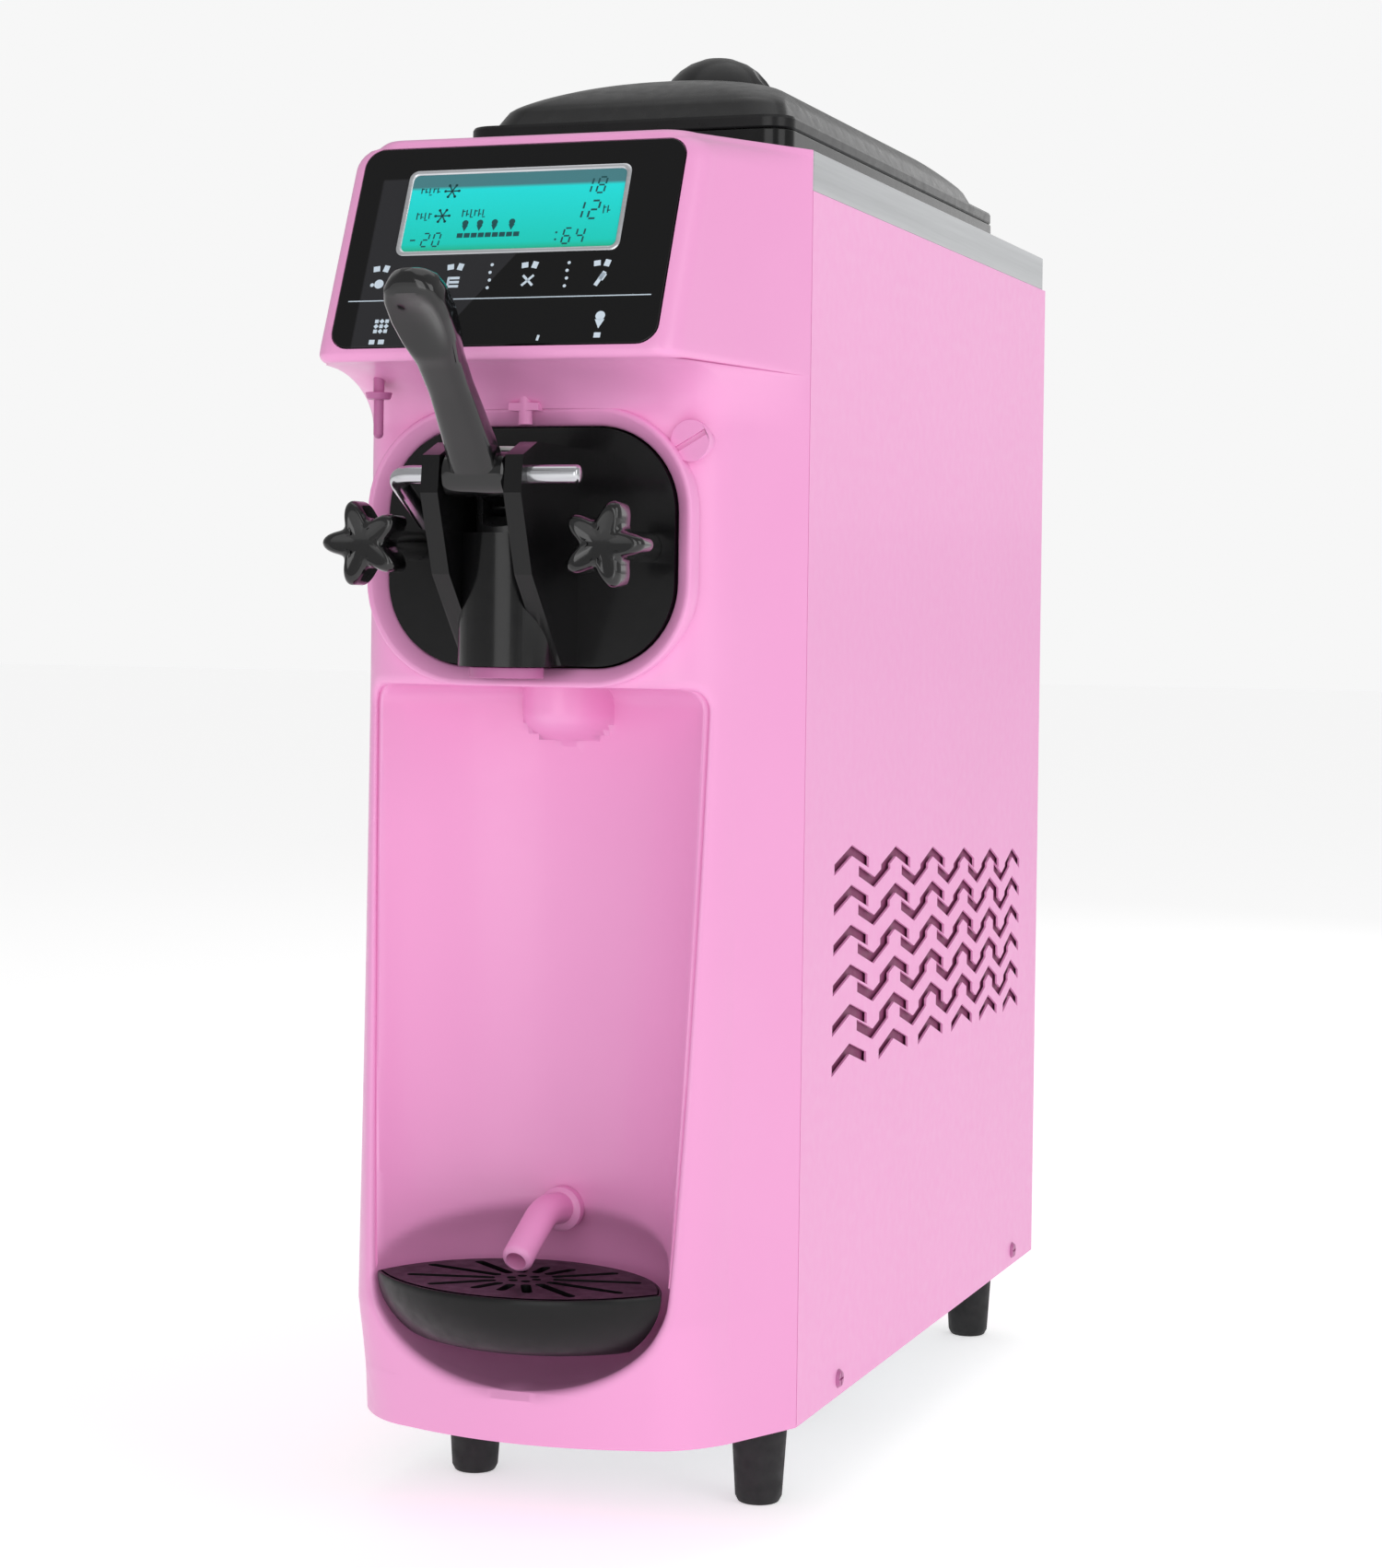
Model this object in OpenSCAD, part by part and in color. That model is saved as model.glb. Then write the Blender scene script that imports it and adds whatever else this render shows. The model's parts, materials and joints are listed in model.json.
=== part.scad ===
// Countertop soft-serve ice cream maker, one flavour, air cooled.
// X points to the right-hand side, -Y to the operator, Z up. The origin is on the floor,
// under the middle of the machine's bounding box. Millimetres.

/* [Casing] */
// Width of the casing over its side panels
body_w = 212; // [200:1:230]
// Length of the side panels, from the front cover's seam to the rear panel
case_d = 440; // [430:1:460]
// Height of the casing's underside above the floor
foot_h = 49; // [40:1:60]
// Height of the steel deck above the floor
deck_z = 620; // [616:1:640]
// Depth of the steel band below the deck's top
band_h = 18; // [14:1:24]
// Thickness of the casing's sheet metal
skin_t = 1.2; // [1:0.1:1.6]

/* [Front cover] */
// Wall thickness of the moulded front cover
cover_t = 3; // [2.5:0.1:4]
// How far the head's lower lip stands in front of the seam
lip_reach = 116; // [110:1:120]
// How far the head's upper edge stands in front of the seam
brow_reach = 77; // [72:1:84]
// How far the waist round the door stands in front of the seam
waist_reach = 72; // [70:1:74]
// How far the chin under the drip tray stands in front of the seam
chin_reach = 85; // [82:1:88]

/* [Freezing cylinder] */
// Height of the cylinder's axis above the floor
axis_z = 441; // [438:1:444]
// Inner radius of the freezing cylinder
bore_r = 44; // [43:0.5:45]
// Where the cylinder ends, behind the seam
bore_end = 150; // [146:1:152]

/* [Door and valve] */
// Half width of the dispensing door
door_hw = 67.5; // [66:0.5:68]
// Half height of the dispensing door
door_hh = 52; // [51:0.5:52]
// How far the door's face stands in front of the seam
door_reach = 68; // [67:0.5:69]
// How far the lever's pivot stands in front of the seam
pivot_reach = 123; // [122:0.5:124]
// How far the plunger's axis stands in front of the seam
plunger_reach = 92; // [91:0.5:93]
// Radius of the plunger
plunger_r = 13.6; // [13.4:0.1:13.7]

/* [Drive] */
// Teeth on the output gear
gear_teeth = 60; // [60]
// Teeth on the pinion
pinion_teeth = 15; // [15]
// Radius of the driven pulley's groove
driven_r = 42; // [40:1:44]
// Radius of the motor pulley's groove
motor_pulley_r = 16; // [15:0.5:18]

/* [Hidden] */
$fn = 64;

// Colours
pink = [0.95, 0.65, 0.83];
black = [0.06, 0.06, 0.07];
steel = [0.78, 0.79, 0.8];
galvanised = [0.62, 0.64, 0.66];
copper = [0.78, 0.45, 0.3];
foam = [0.9, 0.86, 0.72];
rubber = [0.12, 0.12, 0.12];
white = [0.92, 0.92, 0.9];

// The casing is drawn with y = 0 at the seam between the front cover and the side panels.
lever_reach = 201;
rear_reach = case_d + 5;
mid_y = (rear_reach - lever_reach) / 2;
hw = body_w / 2;
gap = 0.3;

module at_seam() {
    translate([0, -mid_y, 0]) children();
}

// A rod along Y from y0 to y1 at height z.
module rod_y(r, y0, y1, x = 0, z = 0) {
    translate([x, y0, z]) rotate([-90, 0, 0]) cylinder(r = r, h = y1 - y0);
}

// A rod along X from x0 to x1.
module rod_x(r, x0, x1, y = 0, z = 0) {
    translate([x0, y, z]) rotate([0, 90, 0]) cylinder(r = r, h = x1 - x0);
}

// A block given by its two corners.
module block(a, b) {
    translate(a) cube(b - a);
}

// A rectangle with round corners, centred.
module round_rect(w, d, r) {
    square([w - 2 * r, d], center = true);
    square([w, d - 2 * r], center = true);
    for (sx = [-1, 1], sy = [-1, 1])
        translate([sx * (w / 2 - r), sy * (d / 2 - r)]) circle(r = r);
}

// A round-cornered block standing on z0, centred on x = 0 and reaching from y0 to y1.
module round_block(w, y0, y1, z0, z1, r) {
    translate([0, (y0 + y1) / 2, z0]) linear_extrude(z1 - z0) round_rect(w, y1 - y0, r);
}

// A round-cornered plate seen from the front, centred on x = 0 and height z.
module front_plate(w, h, r, y0, y1, z) {
    translate([0, y1, z]) rotate([90, 0, 0]) linear_extrude(y1 - y0) round_rect(w, h, r);
}

// A slot from the centre line, with round ends, between radii a and b.
module slot_2d(a, b, w) {
    translate([a, -w / 2]) square([b - a, w]);
    translate([a, 0]) circle(d = w);
    translate([b, 0]) circle(d = w);
}

function bezier(a, b, c, n) =
    [for (i = [0 : n]) let (t = i / n) (1 - t) * (1 - t) * a + 2 * t * (1 - t) * b + t * t * c];
function mirror_x(pts) = [for (i = [len(pts) - 1 : -1 : 0]) [-pts[i][0], pts[i][1]]];

// ---------------------------------------------------------------- sheet-metal casing

pan_h = 22;
module base_pan() at_seam() color(galvanised) {
    difference() {
        block([-hw + skin_t + 0.1, 4, foot_h], [hw - skin_t - 0.1, case_d - 2, foot_h + pan_h]);
        block([-hw + 2.5, 5.5, foot_h + 1.5], [hw - 2.5, case_d - 3.5, foot_h + pan_h + 1]);
        for (x = [-60 : 20 : 60]) translate([x, case_d / 2, foot_h - 1])
            linear_extrude(4) rotate(90) slot_2d(-24, 24, 6);
        for (sx = [-1, 1], y = screw_y) rod_x(2.1, sx * hw - 3, sx * hw + 3, y, screw_z);
    }
}

foot_top_r = 14;
foot_tip_r = 11;
foot_x = 72;
foot_y = [50, 428];
module rubber_feet() at_seam() color(rubber) {
    for (x = [-foot_x, foot_x], y = foot_y) translate([x, y, 0]) {
        translate([0, 0, 3]) cylinder(r1 = foot_tip_r, r2 = foot_top_r, h = foot_h - 3);
        cylinder(r1 = foot_tip_r - 1.5, r2 = foot_tip_r, h = 3);
    }
}

bulkhead_y = 2.1;
module front_bulkhead() at_seam() color(galvanised) {
    difference() {
        union() {
            block([-100, bulkhead_y, foot_h + 2], [100, bulkhead_y + 1.4, deck_z - 3]);
            for (sx = [-1, 1])
                block([sx * 99.5 - 0.8, bulkhead_y, foot_h + 24], [sx * 99.5 + 0.8, 20, deck_z - 22]);
        }
        rod_y(59, -1, 5, 0, axis_z);
        rod_y(spout_r + 0.5, -1, 5, 0, spout_z);
        front_plate(150, 70, 12, -1, 5, deck_z - 55);
    }
}

shelf_z = 368;
module drive_shelf() at_seam() color(galvanised) {
    difference() {
        union() {
            block([-98, 3.8, shelf_z], [98, case_d - 26, shelf_z + 2]);
            for (sx = [-1, 1]) block([sx * 97 - 1, 3.8, shelf_z - 18], [sx * 97 + 1, case_d - 26, shelf_z]);
        }
        block([-52, belt_y - 10, shelf_z - 1], [52, belt_y + 10, shelf_z + 3]);
        block([80, 154, shelf_z - 1], [93, 178, shelf_z + 3]);
        block([-93, 184, shelf_z - 1], [-83, 210, shelf_z + 3]);
    }
    for (sx = [-1, 1]) block([sx * 92 - 8, case_d - 24, foot_h + 2], [sx * 92 + 8, case_d - 22, deck_z - 22]);
}

// Fixing screws through the side panels
screw_y = [63.6, 393.3];
screw_z = foot_h + 8.2;
module panel_screws() at_seam() color(steel) {
    for (sx = [-1, 1], y = screw_y) {
        mirror([sx < 0 ? 1 : 0, 0, 0]) difference() {
            union() {
                rod_x(2, hw - 6, hw + 0.2, y, screw_z);
                translate([hw, y, screw_z]) rotate([0, 90, 0]) cylinder(r1 = 4.5, r2 = 3.4, h = 1.6);
            }
            block([hw + 0.8, y - 0.5, screw_z - 3], [hw + 3, y + 0.5, screw_z + 3]);
            block([hw + 0.8, y - 3, screw_z - 0.5], [hw + 3, y + 3, screw_z + 0.5]);
        }
    }
}

// The vents are chevrons in rows that point up and down by turns. The rows close up and the
// chevrons narrow towards the rear.
vent_cols = 6;
vent_rows = 6;
vent_stroke = 5.2;
function vent_y(u) = 74 + 77 * u - 3.1 * u * u;
function vent_pitch(u) = 77 - 6.2 * u;
function vent_top(y) = 305.6 - 0.067 * (y - 74);
function vent_row_pitch(y) = 18.6 - 0.0098 * (y - 74);
module chevron(half, rise) {
    polygon([[-half, -rise], [0, 0], [half, -rise], [half, -rise - vent_stroke],
        [0, -vent_stroke], [-half, -rise - vent_stroke]]);
}
module vent_holes() {
    rotate([90, 0, 90]) linear_extrude(6, center = true) {
        for (i = [0 : vent_cols - 1], j = [0 : vent_rows - 1])
            let (y = vent_y(i))
            translate([y, vent_top(y) - j * vent_row_pitch(y)]) chevron(0.36 * vent_pitch(i), 7.4);
        for (i = [0.5 : 1 : vent_cols - 1.5], j = [0.5 : 1 : vent_rows - 1.5])
            let (y = vent_y(i))
            translate([y, vent_top(y) - j * vent_row_pitch(y) - 8.6]) mirror([0, 1])
            translate([0, vent_stroke / 2]) chevron(0.36 * vent_pitch(i), 7.4);
    }
}

module side_panel(s) {
    at_seam() color(pink) difference() {
        union() {
            block([s * (hw - skin_t / 2) - skin_t / 2, 0.6, foot_h],
                [s * (hw - skin_t / 2) + skin_t / 2, case_d, deck_z - band_h]);
            block([s * (hw - 6) - 5, 0.6, foot_h + 30], [s * (hw - 6) + 5, 0.6 + skin_t, deck_z - 24]);
        }
        translate([s * hw, 0, 0]) vent_holes();
        for (y = screw_y) rod_x(2.1, s * hw - 3, s * hw + 3, y, screw_z);
    }
}
module side_panel_left() side_panel(-1);
module side_panel_right() side_panel(1);

inlet_x = 40;
inlet_z = 105;
switch_x = -2;
module rear_panel() at_seam() color(pink) {
    difference() {
        block([-hw + skin_t + 0.3, case_d - skin_t, foot_h + 1],
            [hw - skin_t - 0.3, case_d, deck_z - band_h]);
        for (z = [150 : 14 : 290]) translate([0, case_d + 2, z]) rotate([90, 0, 0])
            linear_extrude(6) slot_2d(-70, 70, 5);
        for (z = [500 : 14 : 556]) translate([0, case_d + 2, z]) rotate([90, 0, 0])
            linear_extrude(6) slot_2d(-50, 50, 5);
        block([inlet_x - 14.2, case_d - 3, inlet_z - 10.2], [inlet_x + 14.2, case_d + 1, inlet_z + 10.2]);
        block([switch_x - 13.2, case_d - 3, inlet_z - 10.2], [switch_x + 13.2, case_d + 1, inlet_z + 10.2]);
    }
}

module top_deck() at_seam() color(steel) {
    difference() {
        translate([0, 0.6, 0]) union() {
            round_block(body_w, -20, case_d - 0.6, deck_z - band_h, deck_z, 8);
        }
        block([-hw - 1, -30, deck_z - band_h - 1], [hw + 1, 0.6, deck_z + 1]);
        round_block(body_w - 2 * skin_t, -40, case_d - skin_t, deck_z - band_h - 1, deck_z - skin_t, 7);
        round_block(tank_w + 3, tank_y0 - 1.5, tank_y1 + 1.5, deck_z - 4, deck_z + 1, 13);
    }
}

// ---------------------------------------------------------------- moulded front cover

// Each station is [z, front, corner, flank]: the reach of the middle of the front, then the
// control point of the rounded corner and the point where that corner runs into the flank.
cove_z0 = deck_z - 126;
cove_z1 = deck_z - 101;
lip_z = cove_z1 + 4;
waist_corner = [80, 64];
waist_flank = [88, 42];
head_corner = [82, lip_reach - 2];
head_flank = [84.4, lip_reach - 15];
function cove(a) = let (t = 1 - cos(a))
    [cove_z0 + (cove_z1 - cove_z0) * sin(a), waist_reach + (lip_reach - 2 - waist_reach) * t,
    waist_corner + (head_corner - waist_corner) * t, waist_flank + (head_flank - waist_flank) * t];
stations = concat(
    [[foot_h, 74, [74, 61], [87, 39]],
    [foot_h + 55, chin_reach, [82, 72], [88, 42]],
    [foot_h + 200, waist_reach + 4, [81, 67], [88, 42]],
    [foot_h + 331, waist_reach, waist_corner, waist_flank]],
    [for (a = [0 : 18 : 90]) cove(a)],
    [[cove_z1 + 1.2, lip_reach - 0.6, head_corner, head_flank],
    [lip_z, lip_reach, [82, lip_reach], [84.4, lip_reach - 13]],
    [deck_z - 3, brow_reach, [79.5, brow_reach], [82, brow_reach - 12]],
    [deck_z, brow_reach - 4, [79.5, brow_reach - 4], [82, brow_reach - 15]]]);

// Half outline of the cover at a station, shrunk by t towards the middle.
function cover_half(s, t) = let (
    k = (s[2][1] - s[3][1]) < 17 ? 10 : 20,
    bow = s[1] - s[2][1],
    c = [s[2][0] - t, t - s[2][1]],
    f = [s[3][0] - t, t - s[3][1]],
    g = [s[2][0] - k - t, t - s[2][1] - 0.3 * bow])
    concat([[hw - t, t > 0 ? 1 : 0]], bezier(f, c, g, 4),
        bezier(g, [g[0] * 0.5, t - s[1]], [0, t - s[1]], 3));
function cover_outline(s, t) = let (h = cover_half(s, t))
    concat(h, [for (i = [len(h) - 2 : -1 : 0]) [-h[i][0], h[i][1]]]);
module cover_slice(s, t) {
    translate([0, 0, s[0]]) linear_extrude(0.01) polygon(cover_outline(s, t));
}
module cover_body(t) {
    for (i = [0 : len(stations) - 2]) hull() {
        cover_slice(stations[i], t);
        cover_slice(stations[i + 1], t);
    }
}

// The dispensing recess is a scoop with an upright back wall. Its plan is a circle's arc whose
// radius grows with height, between side walls that open out to the flanks at the top.
recess_back = 17.5;
recess_r = 71.5;
recess_z0 = foot_h + 68;
recess_z1 = foot_h + 330;
recess_round = 9;
function recess_half(z, t) = let (
    u = (z - recess_z0) / (recess_z1 - recess_z0),
    r = recess_r + 28.5 * u + t,
    xe = 70 + 14 * u + t,
    m = 2.4 - 1.7 * u,
    edge = 66 - 12 * u * u)
    concat([for (i = [0 : 8]) let (x = xe * i / 8)
        [x, -max(recess_back - t + r - sqrt(r * r - x * x), edge - (xe - x) * m)]],
        [[xe + 40, -edge - 40 * m], [xe + 40, -180], [0, -180]]);
module recess_slice(z, t, shrink) {
    h = recess_half(z, t - shrink);
    translate([0, 0, z]) linear_extrude(0.01)
        polygon(concat(h, [for (i = [len(h) - 1 : -1 : 1]) [-h[i][0], h[i][1]]]));
}
module recess(t) {
    levels = [[recess_z0, 0], [recess_z0 + 90, 0], [recess_z0 + 180, 0], [recess_z1 - recess_round, 0],
        [recess_z1 - 0.35 * recess_round + t / 2, 0.2 * recess_round], [recess_z1 + t, recess_round]];
    for (i = [0 : len(levels) - 2]) hull() {
        recess_slice(levels[i][0], t, levels[i][1]);
        recess_slice(levels[i + 1][0], t, levels[i + 1][1]);
    }
}
module tray_pocket(t) {
    translate([0, -70, recess_z0]) scale([1, 0.93, 0.64]) sphere(r = 69.5 + t);
}
module chute_boss() {
    translate([0, -22, recess_z1 - 12]) {
        cylinder(r = 22, h = 30);
        scale([1, 1, 0.6]) sphere(r = 22);
    }
}

module front_cover() at_seam() color(pink) {
    $fn = 36;
    difference() {
        union() {
            difference() {
                cover_body(0);
                intersection() {
                    cover_body(cover_t);
                    block([-hw, -lip_reach, foot_h + cover_t], [hw, 5, deck_z - cover_t]);
                }
            }
            intersection() {
                cover_body(0);
                union() {
                    recess(cover_t);
                    tray_pocket(cover_t);
                }
            }
        }
        difference() {
            recess(0);
            chute_boss();
        }
        tray_pocket(0);
        front_plate(2 * (door_hw + 1), 2 * (door_hh + 1), 38, -lip_reach, -20, axis_z);
        front_plate(2 * (door_hw + 8), 2 * (door_hh + 8), 44, -lip_reach, -door_reach + 4, axis_z);
        on_panel() translate([0, panel_len / 2, -2.2]) linear_extrude(9) round_rect(2 * glass_hw + 1, panel_len - 3, 9);
        on_panel() block([-60, 24, -12], [60, 92, 1]);
        rod_y(spout_r + 0.4, -30, 10, 0, spout_z);
        rod_y(7.4, -80, -40, lock_pos[0], lock_pos[2]);
        rod_y(9.3, -80, -64.2, lock_pos[0], lock_pos[2]);
        translate([peg_pos[0], peg_pos[1], peg_pos[2] - 4]) cylinder(r = 3.4, h = 30);
        translate([-7.4, peg_pos[1] - 3.2, peg_pos[2] - 4.4]) cube([14.8, 6.4, 4.2]);
        translate([hook_pos[0], hook_pos[1], hook_pos[2]]) cylinder(r = 2.8, h = 40);
    }
}

lock_pos = [74, -60, 487];
module cover_lock() at_seam() color(pink) {
    difference() {
        union() {
            rod_y(9, -68, -64.5, lock_pos[0], lock_pos[2]);
            rod_y(7, -65, -48, lock_pos[0], lock_pos[2]);
        }
        translate([lock_pos[0], -68, lock_pos[2]]) rotate([0, -30, 0]) block([-8, -1, -1.2], [8, 1.6, 1.2]);
    }
}

hook_pos = [-66, -84, 508];
module brush_hook() at_seam() color([0.7, 0.4, 0.58]) translate(hook_pos) {
    cylinder(r = 2.4, h = 22);
    translate([0, 0, -3]) cylinder(r1 = 5, r2 = 6, h = 3);
    translate([0, 0, -18]) cylinder(r = 2.2, h = 15.5);
    translate([0, 0, -18]) sphere(r = 2.2);
}

peg_pos = [0, -74.5, 504];
module cover_clip() at_seam() color(pink) translate(peg_pos) {
    translate([0, 0, -10]) cylinder(r = 3, h = 24);
    translate([-7, -2.8, -4]) cube([14, 5.6, 3.4]);
}

// ---------------------------------------------------------------- control panel

panel_len = norm([lip_reach - brow_reach, deck_z - 3 - lip_z]);
panel_tilt = atan((lip_reach - brow_reach) / (deck_z - 3 - lip_z));
glass_hw = 75;
module on_panel() {
    translate([0, -lip_reach, lip_z]) rotate([90 - panel_tilt, 0, 0]) children();
}
module control_glass() at_seam() color(black) on_panel() {
    translate([0, panel_len / 2, -2]) linear_extrude(2.6) round_rect(2 * glass_hw, panel_len - 4, 8.5);
}
lcd_size = [104, 42];
module display_module() at_seam() color([0.25, 0.8, 0.78]) on_panel() {
    translate([-lcd_size[0] / 2, 46, -8]) cube([lcd_size[0], lcd_size[1], 5.8]);
}
module control_board() at_seam() color([0.12, 0.4, 0.2]) on_panel() {
    block([-58, 26, -10.4], [58, 90, -8.6]);
    for (x = [-45 : 18 : 45]) block([x - 4, 30, -8.7], [x + 4, 38, -6]);
    block([-20, 52, -14], [20, 72, -10.3]);
}

// ---------------------------------------------------------------- hopper

tank_w = 140;
tank_y0 = 54;
tank_y1 = 372;
tank_z0 = 513;
feed_y = 70;
feed_r = 9;
module hopper_tank() at_seam() color(steel) {
    difference() {
        union() {
            round_block(tank_w, tank_y0, tank_y1, tank_z0, deck_z + 1, 12);
            round_block(tank_w + 16, tank_y0 - 8, tank_y1 + 8, deck_z, deck_z + 1, 14);
            translate([0, feed_y, axis_z + bore_r + 3]) cylinder(r = feed_r + 3, h = tank_z0 - axis_z - bore_r - 2);
        }
        round_block(tank_w - 2, tank_y0 + 1, tank_y1 - 1, tank_z0 + 1, deck_z + 2, 11);
        translate([0, feed_y, axis_z]) cylinder(r = feed_r, h = 120);
    }
}

frame_w = 162;
frame_y0 = 38;
frame_y1 = 420;
frame_z1 = deck_z + 17;
module hopper_frame() at_seam() color(black) {
    difference() {
        round_block(frame_w, frame_y0, frame_y1, deck_z + 0.05, frame_z1, 12);
        round_block(tank_w - 10, tank_y0 + 6, tank_y1 - 6, deck_z - 1, frame_z1 + 1, 9);
        round_block(tank_w + 17, tank_y0 - 8.5, tank_y1 + 8.5, deck_z - 1, deck_z + 1.1, 14);
        difference() {
            round_block(tank_w + 2, tank_y0 - 1, tank_y1 + 1, frame_z1 - 3, frame_z1 + 1, 12);
            round_block(tank_w - 6, tank_y0 + 3, tank_y1 - 3, frame_z1 - 4, frame_z1 + 2, 10);
        }
    }
}
module hopper_gasket() at_seam() color(rubber) {
    difference() {
        round_block(tank_w + 1.4, tank_y0 - 0.7, tank_y1 + 0.7, frame_z1 - 3, frame_z1 + 0.4, 11.7);
        round_block(tank_w - 5.4, tank_y0 + 2.7, tank_y1 - 2.7, frame_z1 - 4, frame_z1 + 1, 10.3);
    }
}

lid_top = 676;
knob_y = 172;
knob_r = 31;
knob_top = 695;
module lid_slice(w, y0, y1, z, r) {
    translate([0, (y0 + y1) / 2, z]) linear_extrude(0.01) round_rect(w, y1 - y0, r, $fn = 32);
}
module lid_crown(t) {
    hull() {
        lid_slice(frame_w - 14 - t, 46 + t, 411 - t, frame_z1 + 7, 16);
        lid_slice(frame_w - 22 - t, 52 + t, 405 - t, frame_z1 + 16 - t, 18);
        lid_slice(frame_w - 44 - t, 72 + t, 370 - t, frame_z1 + 27 - t, 30);
        lid_slice(frame_w - 84 - t, 104 + t, 306 - t, frame_z1 + 36 - t, 40);
        lid_slice(40, 140, 245, lid_top - 1 - t, 20);
    }
}
module hopper_lid() at_seam() color(black) {
    difference() {
        union() {
            round_block(frame_w, frame_y0, frame_y1, frame_z1 + 0.4, frame_z1 + 7.01, 13);
            lid_crown(0);
            translate([0, knob_y, lid_top - 14]) cylinder(r1 = knob_r + 1, r2 = knob_r - 4, h = 14);
            translate([0, knob_y, knob_top - knob_r]) difference() {
                sphere(r = knob_r);
                translate([-50, -50, -knob_r - 1]) cube([100, 100, 21]);
                for (sx = [-1, 1]) translate([sx * 40, 0, knob_r]) sphere(r = 22);
            }
        }
        round_block(tank_w - 8, 62, 360, frame_z1 - 1, frame_z1 + 8, 10);
        lid_crown(2.6);
    }
}

tube_r = 6;
module air_tube() at_seam() color(steel) translate([0, feed_y, tank_z0 - 16]) {
    difference() {
        union() {
            cylinder(r = feed_r - 0.06, h = 20);
            cylinder(r = tube_r, h = 118);
            translate([0, 0, 17.2]) cylinder(r = 12, h = 3);
            translate([-14, -2, 108]) cube([28, 4, 8]);
        }
        translate([0, 0, -1]) cylinder(r = tube_r - 1.2, h = 130);
        rod_y(2.5, -20, 20, 0, 26);
    }
}

// ---------------------------------------------------------------- freezing cylinder and beater

cyl_wall = 2.5;
flange_reach = door_reach - 14;
shaft_r = 8;
module freezing_cylinder() at_seam() color(steel) {
    difference() {
        union() {
            rod_y(bore_r + cyl_wall, -flange_reach, bore_end, 0, axis_z);
            front_plate(2 * door_hw - 1, 2 * door_hh - 1, 37, -flange_reach + 0.1, -flange_reach + 3, axis_z);
        }
        rod_y(bore_r, -flange_reach - 1, bore_end - 4, 0, axis_z);
        rod_y(14, bore_end - 5, bore_end + 1, 0, axis_z);
        translate([0, feed_y, axis_z + 20]) cylinder(r = feed_r, h = 40);
        for (sx = [-1, 1]) rod_y(4, -flange_reach - 1, -flange_reach + 4, sx * stud_x, axis_z);
    }
}

// Copper tube wound round the cylinder
// The coil opens out where the feed neck passes between its turns.
coil_turns = 8;
coil_y0 = 14;
coil_y1 = 138;
coil_r = bore_r + cyl_wall + 5.3;
coil_lay = [[0, coil_y0], [3, feed_y - 19], [4, feed_y + 19], [coil_turns, coil_y1]];
coil_tube_r = 4;
ring_sides = 8;
function coil_point(t) = [coil_r * sin(360 * coil_turns * t), lookup(coil_turns * t, coil_lay),
    axis_z + coil_r * cos(360 * coil_turns * t)];

// A tube swept along a list of points.
function unit(v) = v / norm(v);
function tangent(p, i) = unit(p[min(i + 1, len(p) - 1)] - p[max(i - 1, 0)]);
function side_of(t) = unit(cross(t, abs(t[2]) > 0.9 ? [1, 0, 0] : [0, 0, 1]));
function ring(p, i, r) = let (t = tangent(p, i), u = side_of(t), v = cross(t, u))
    [for (k = [0 : ring_sides - 1]) let (a = 360 * k / ring_sides) p[i] + r * (cos(a) * u + sin(a) * v)];
module swept_tube(p, r) {
    n = len(p);
    s = ring_sides;
    faces = concat(
        [[for (k = [0 : s - 1]) k]],
        [for (i = [0 : n - 2], k = [0 : s - 1])
            [i * s + k, (i + 1) * s + k, (i + 1) * s + (k + 1) % s, i * s + (k + 1) % s]],
        [[for (k = [s - 1 : -1 : 0]) (n - 1) * s + k]]);
    polyhedron(points = [for (i = [0 : n - 1]) each ring(p, i, r)], faces = faces);
}

module evaporator_coil() at_seam() color(copper) {
    swept_tube([for (i = [0 : coil_turns * 16]) coil_point(i / (coil_turns * 16))], coil_tube_r);
}

jacket_r = coil_r + coil_tube_r + 1;
module insulation_jacket() at_seam() color(foam) {
    difference() {
        block([-76, 3.8, shelf_z + 2], [76, bore_end, tank_z0 - 1]);
        rod_y(jacket_r, 0, bore_end + 1, 0, axis_z);
        translate([0, feed_y, axis_z]) cylinder(r = feed_r + 3.5, h = 100);
        block([-14, coil_y1 - 6, shelf_z], [14, bore_end + 1, axis_z]);
        block([48, coil_y1 - 2, axis_z - 16], [77, bore_end + 1, axis_z + 8]);
    }
}

// The beater: two helical blades on a cage with a square drive socket.
beater_r = bore_r - 0.8;
beater_y0 = -flange_reach + 10;
beater_y1 = bore_end - 8;
beater_len = beater_y1 - beater_y0;
blade_t = 5;
beater_twist = 540;
module beater() at_seam() color(steel) translate([0, beater_y1, axis_z]) rotate([90, 0, 0]) {
    linear_extrude(beater_len, twist = -beater_twist, slices = 54, $fn = 14)
        for (s = [-1, 1]) translate([s * (beater_r - blade_t / 2 - 0.5), 0])
            square([blade_t, 8], center = true);
    for (z = [21, beater_len / 3, beater_len * 2 / 3, beater_len - 8]) translate([0, 0, z])
        rotate(beater_twist * z / beater_len) rotate([0, 90, 0]) cylinder(r = 2.6, h = 2 * beater_r - 5, center = true);
    difference() {
        cylinder(r = 12, h = 22);
        translate([-6.1, -6.1, -1]) cube([12.2, 12.2, 19]);
    }
    translate([0, 0, 20]) cylinder(r = 4, h = beater_len - 24);
}

// ---------------------------------------------------------------- gearbox and drive

gear_module = 1;
gear_y0 = 186;
gear_w = 12;
output_r = gear_module * gear_teeth / 2;
pinion_r = gear_module * pinion_teeth / 2;
pinion_z = axis_z - output_r - pinion_r;
box_y0 = 166;
box_y1 = 226;
belt_y = 250;
bearing_r = 14;
pinion_shaft_r = 6;

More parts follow.
